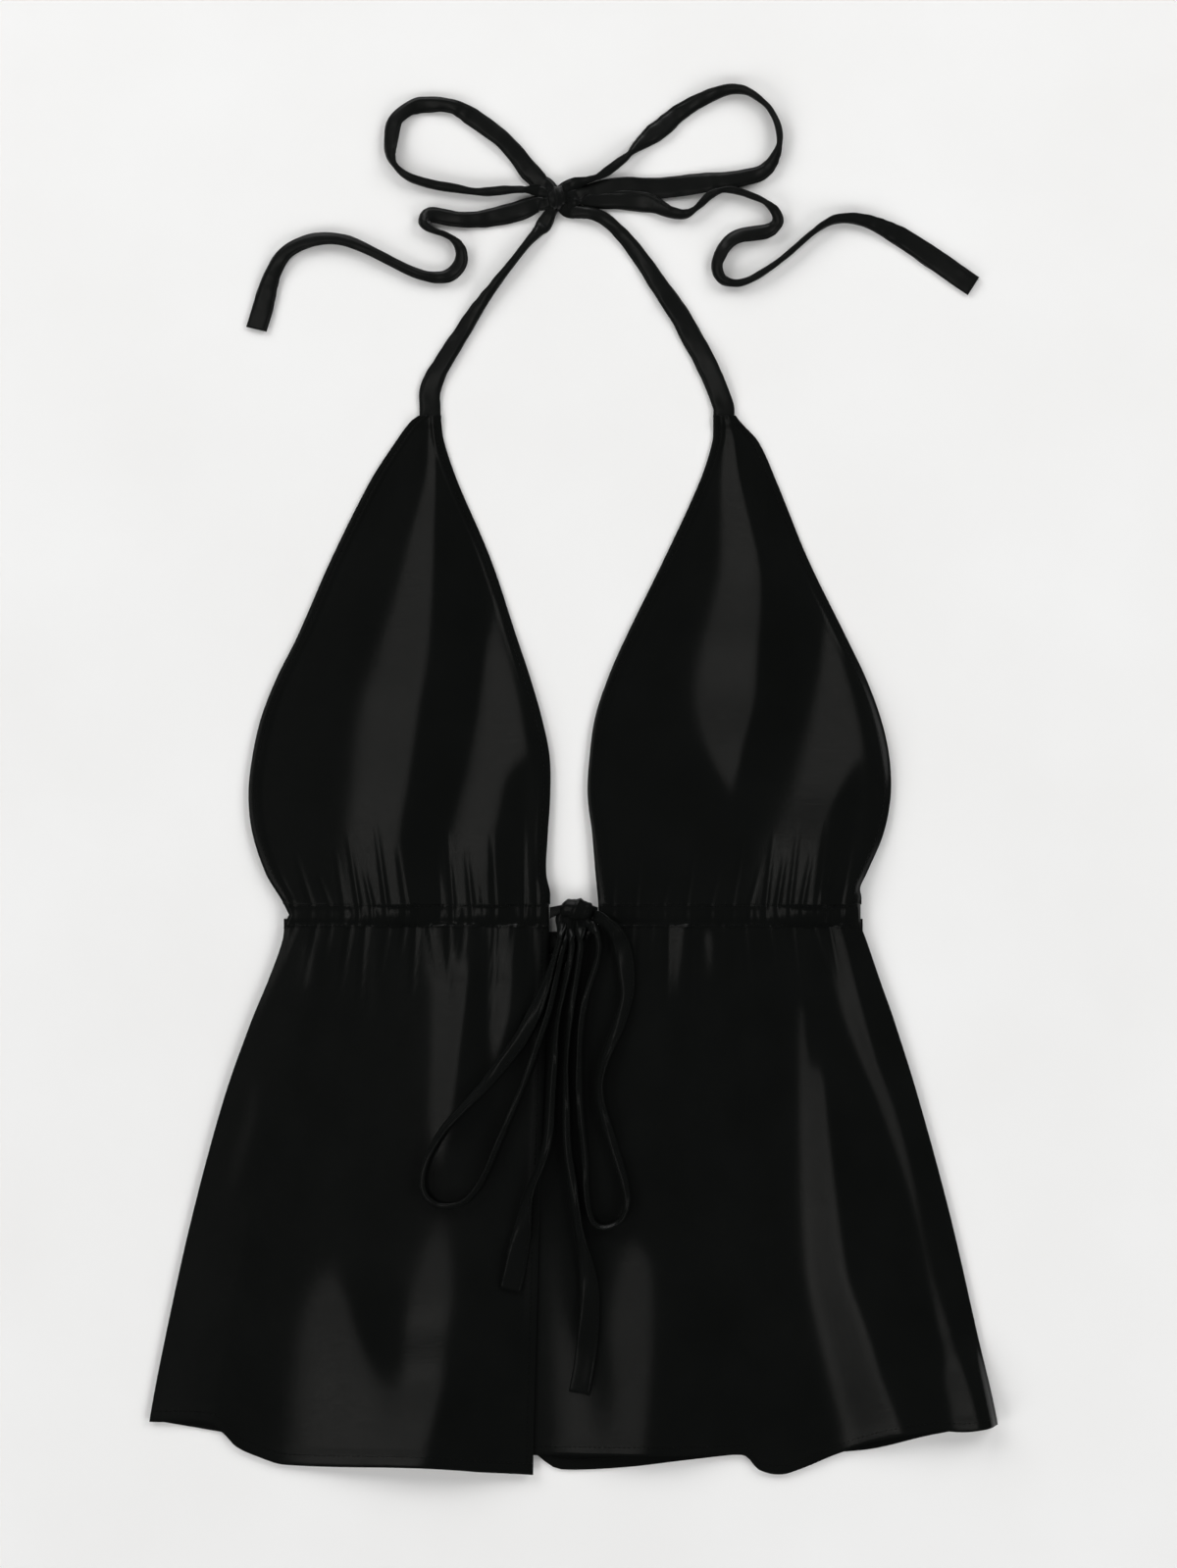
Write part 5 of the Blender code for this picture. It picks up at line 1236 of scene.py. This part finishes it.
# %% The stitch tree
STITCH_INPUTS = (
    ("Line", "Geometry", None), ("Pitch", "Float", 0.003), ("Stitch Length", "Float", 0.0022),
    ("Thread Thickness", "Float", 0.0004), ("Unevenness", "Float", 0.06), ("Seed", "Int", 3),
    ("Thread", "Material", None))
stitch_tree = bpy.data.node_groups.new("stitches along a line", "GeometryNodeTree")
stitch_sockets = {}
for label, kind, default in STITCH_INPUTS:
    socket = stitch_tree.interface.new_socket(label, in_out="INPUT", socket_type="NodeSocket" + kind)
    if default is not None:
        socket.default_value = default
    stitch_sockets[label] = socket.identifier
stitch_tree.interface.new_socket("Stitches", in_out="OUTPUT", socket_type="NodeSocketGeometry")

given = stitch_tree.nodes.new("NodeGroupInput").outputs
result = stitch_tree.nodes.new("NodeGroupOutput")
spots = add_node(stitch_tree, "GeometryNodeResampleCurve", None,
                 {"Curve": given["Line"], "Length": given["Pitch"]}, mode="LENGTH")
along = add_node(stitch_tree, "GeometryNodeInputTangent")
turned = add_node(stitch_tree, "FunctionNodeAlignRotationToVector", None,
                  {"Vector": along.outputs[0]}, axis="X")
thread_end = add_node(stitch_tree, "GeometryNodeMeshIcoSphere", {"Radius": 0.5, "Subdivisions": 1})
lengths = add_node(stitch_tree, "FunctionNodeRandomValue", None, {"Seed": given["Seed"]})
uneven = add_node(stitch_tree, "ShaderNodeMath", {0: 1.0}, {1: given["Unevenness"]}, operation="SUBTRACT")
stitch_tree.links.new(uneven.outputs[0], lengths.inputs[2])
long_side = add_node(stitch_tree, "ShaderNodeMath", None,
                     {0: given["Stitch Length"], 1: lengths.outputs[1]}, operation="MULTIPLY")
size = add_node(stitch_tree, "ShaderNodeCombineXYZ", None,
                {"X": long_side.outputs[0], "Y": given["Thread Thickness"], "Z": given["Thread Thickness"]})
laid = add_node(stitch_tree, "GeometryNodeInstanceOnPoints", None,
                {"Points": spots.outputs[0], "Instance": thread_end.outputs[0],
                 "Rotation": turned.outputs[0], "Scale": size.outputs[0]})
real = add_node(stitch_tree, "GeometryNodeRealizeInstances", None, {"Geometry": laid.outputs[0]})
dyed = add_node(stitch_tree, "GeometryNodeSetMaterial", None,
                {"Geometry": real.outputs[0], "Material": given["Thread"]})
stitch_tree.links.new(dyed.outputs[0], result.inputs[0])
print("stitch tree:", len(stitch_tree.nodes), "nodes")


# %% Sew lines
UNEVEN, SEED = 0.15, 3      # how much shorter some stitches are, and the fixed draw of which
STITCH_FACES = 20           # the faces of one stitch
ON_PANEL, ON_CASING, ON_TAPE = 0.12, 0.1, 0.03      # how far above its cloth the middle of a thread runs


def sew(name, lines, pitch=3.0, stitch=2.3, thickness=0.42):
    """Lay stitches along lines of points, given in millimetres, and keep them as one plain mesh."""
    data = bpy.data.curves.new(name + "_line", "CURVE")
    data.dimensions = "3D"
    for line in lines:
        spline = data.splines.new("POLY")
        spline.points.add(len(line) - 1)
        for point, (x, y, z) in zip(spline.points, line):
            point.co = (x * MM, y * MM, z * MM, 1)
    guide = put_in_scene(name + "_line", data)
    sewing = guide.modifiers.new("sewing", "NODES")
    sewing.node_group = stitch_tree
    for label, value in (("Pitch", pitch * MM), ("Stitch Length", stitch * MM),
                         ("Thread Thickness", thickness * MM), ("Unevenness", UNEVEN), ("Seed", SEED),
                         ("Thread", thread)):
        sewing[stitch_sockets[label]] = value
    bpy.context.view_layer.update()
    evaluated = guide.evaluated_get(bpy.context.evaluated_depsgraph_get())
    mesh = bpy.data.meshes.new_from_object(evaluated)
    mesh.name = name
    mesh.shade_smooth()
    bpy.data.objects.remove(guide)
    print(name, "has", len(mesh.polygons) // STITCH_FACES, "stitches on", len(lines), "lines")
    return put_in_scene(name, mesh)


def stitch_point(cloth, u, v):
    """Where a thread runs on a panel."""
    x, y, _ = spot_on(cloth.panel, u, v)
    return (x, y, on_cloth(cloth, u, v) + ON_PANEL)


def side_line(name, inset, from_centre=True):
    """A line at an even inset from a panel's centre or side edge."""
    line = []
    for v in np.linspace(0.012, 0.985, 170):
        share = inset / spot_on(cloths[name].panel, 0.0, v)[2]
        line.append(stitch_point(cloths[name], share if from_centre else 1 - share, v))
    return line


def hem_line(name, inset):
    """A line at an even inset from a panel's hem."""
    cloth = cloths[name]
    return [stitch_point(cloth, u, 1 - inset / panel_length(cloth.panel, u))
            for u in np.linspace(0.012, 0.988, 220)]


seams = {}
for name in ("bib_left", "bib_right", "peplum_front_left", "peplum_front_right", "peplum_back"):
    lines = [hem_line(name, PANELS[name].hem - STITCH_INSET)] if PANELS[name].hem else []
    if name != "peplum_back":
        lines.append(side_line(name, SIDE_HEM - STITCH_INSET))
    if name.startswith("bib"):
        lines.append(side_line(name, SIDE_HEM - STITCH_INSET, from_centre=False))
    seams[name] = sew(name + "_stitches", lines)

# %% [markdown]
# ## Stitches on casings and tapes
# A casing is closed by one row of stitches near its top edge and one at the peplum's seam. The tapes carry
# a row close to one edge all the way, which is what keeps their folds in.


# %% Sew casings and tapes
def casing_line(name, up):
    """A line along a casing, at a share of its height."""
    v, *grids = casing_tops[name]
    row = int(np.argmin(np.abs(v[:, 0] - up)))
    x, y, top = (grid[row] for grid in grids)
    return [(float(x[k]), float(y[k]), float(top[k]) + ON_CASING) for k in range(3, len(x) - 3, 2)]


for name in ("casing_front_left", "casing_front_right", "casing_back"):
    seams[name] = sew(name + "_stitches", [casing_line(name, TOP_ROW), casing_line(name, FOOT_ROW)],
                      pitch=2.8)


def tape_line(tie):
    """The stitched edge of a tape, on its upper face."""
    line = []
    spot = [a for a, h in TAPE_SECTION].index(STITCH_ACROSS)
    for station in tie.stations:
        middles, normals = curl(station, tie.shape)
        thick, run = station[4:]
        lift = 0.7 * thick / 2 + tape_pucker(run, tie.shape.number) * 0.8 + ON_TAPE
        line.append(tuple(middles[spot] + normals[spot] * lift))
    return line


for name, tie in ties.items():
    seams[name] = sew(name.replace("_tape", "_stitches"), [tape_line(tie)],
                      pitch=2.8, stitch=2.1, thickness=0.28)

# %% [markdown]
# ## Each piece in its place
# Every piece rides on the one body and takes the place of its plain solid. The ties' lengths are printed,
# and each panel's and casing's cloth area is printed beside the area of the cut that it was made from.


def settle(piece, node):
    """Ride on the body and replace the plain solid."""
    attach(piece, "root")
    if node:
        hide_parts(node)


for node in ("neck_knot", "waist_knot", "waist_feed_left", "waist_feed_right"):
    settle(pieces[node], node)
for name, tie in ties.items():
    settle(tie.tape, name.removesuffix("_tape"))
    settle(seams[name], None)
print("cords:", len(ties), "with", round(sum(tie.length for tie in ties.values()), 2), "m of tape showing")


# %% Panels and casings in place
def half_area(piece):
    """Half of the surface of a closed shell, which is its cloth's area."""
    return sum(face.area for face in piece.data.polygons) / 2


CUTS = {                    # width and length in metres, area in square metres, what it rests on
    "bib_left": (0.27, 0.31, 0.052, ["casing_front_left_cloth"]),
    "bib_right": (0.27, 0.31, 0.050, ["casing_front_right_cloth"]),
    "peplum_front_left": (0.29, 0.35, 0.080, ["peplum_back_cloth"]),
    "peplum_front_right": (0.30, 0.35, 0.083, ["peplum_back_cloth"]),
    "peplum_back": (0.58, 0.34, 0.165, []),
    "casing_front_left": (0.205, 0.016, 0.00328, ["casing_back_cloth"]),
    "casing_front_right": (0.205, 0.016, 0.00328, ["casing_back_cloth"]),
    "casing_back": (0.44, 0.016, 0.00704, [])}
for node, (width, length, area, below) in CUTS.items():
    settle(pieces[node], node)
    settle(seams[node], None)
    print(node, "shows", round(half_area(pieces[node]), 4), "square metres of a cut of", area)
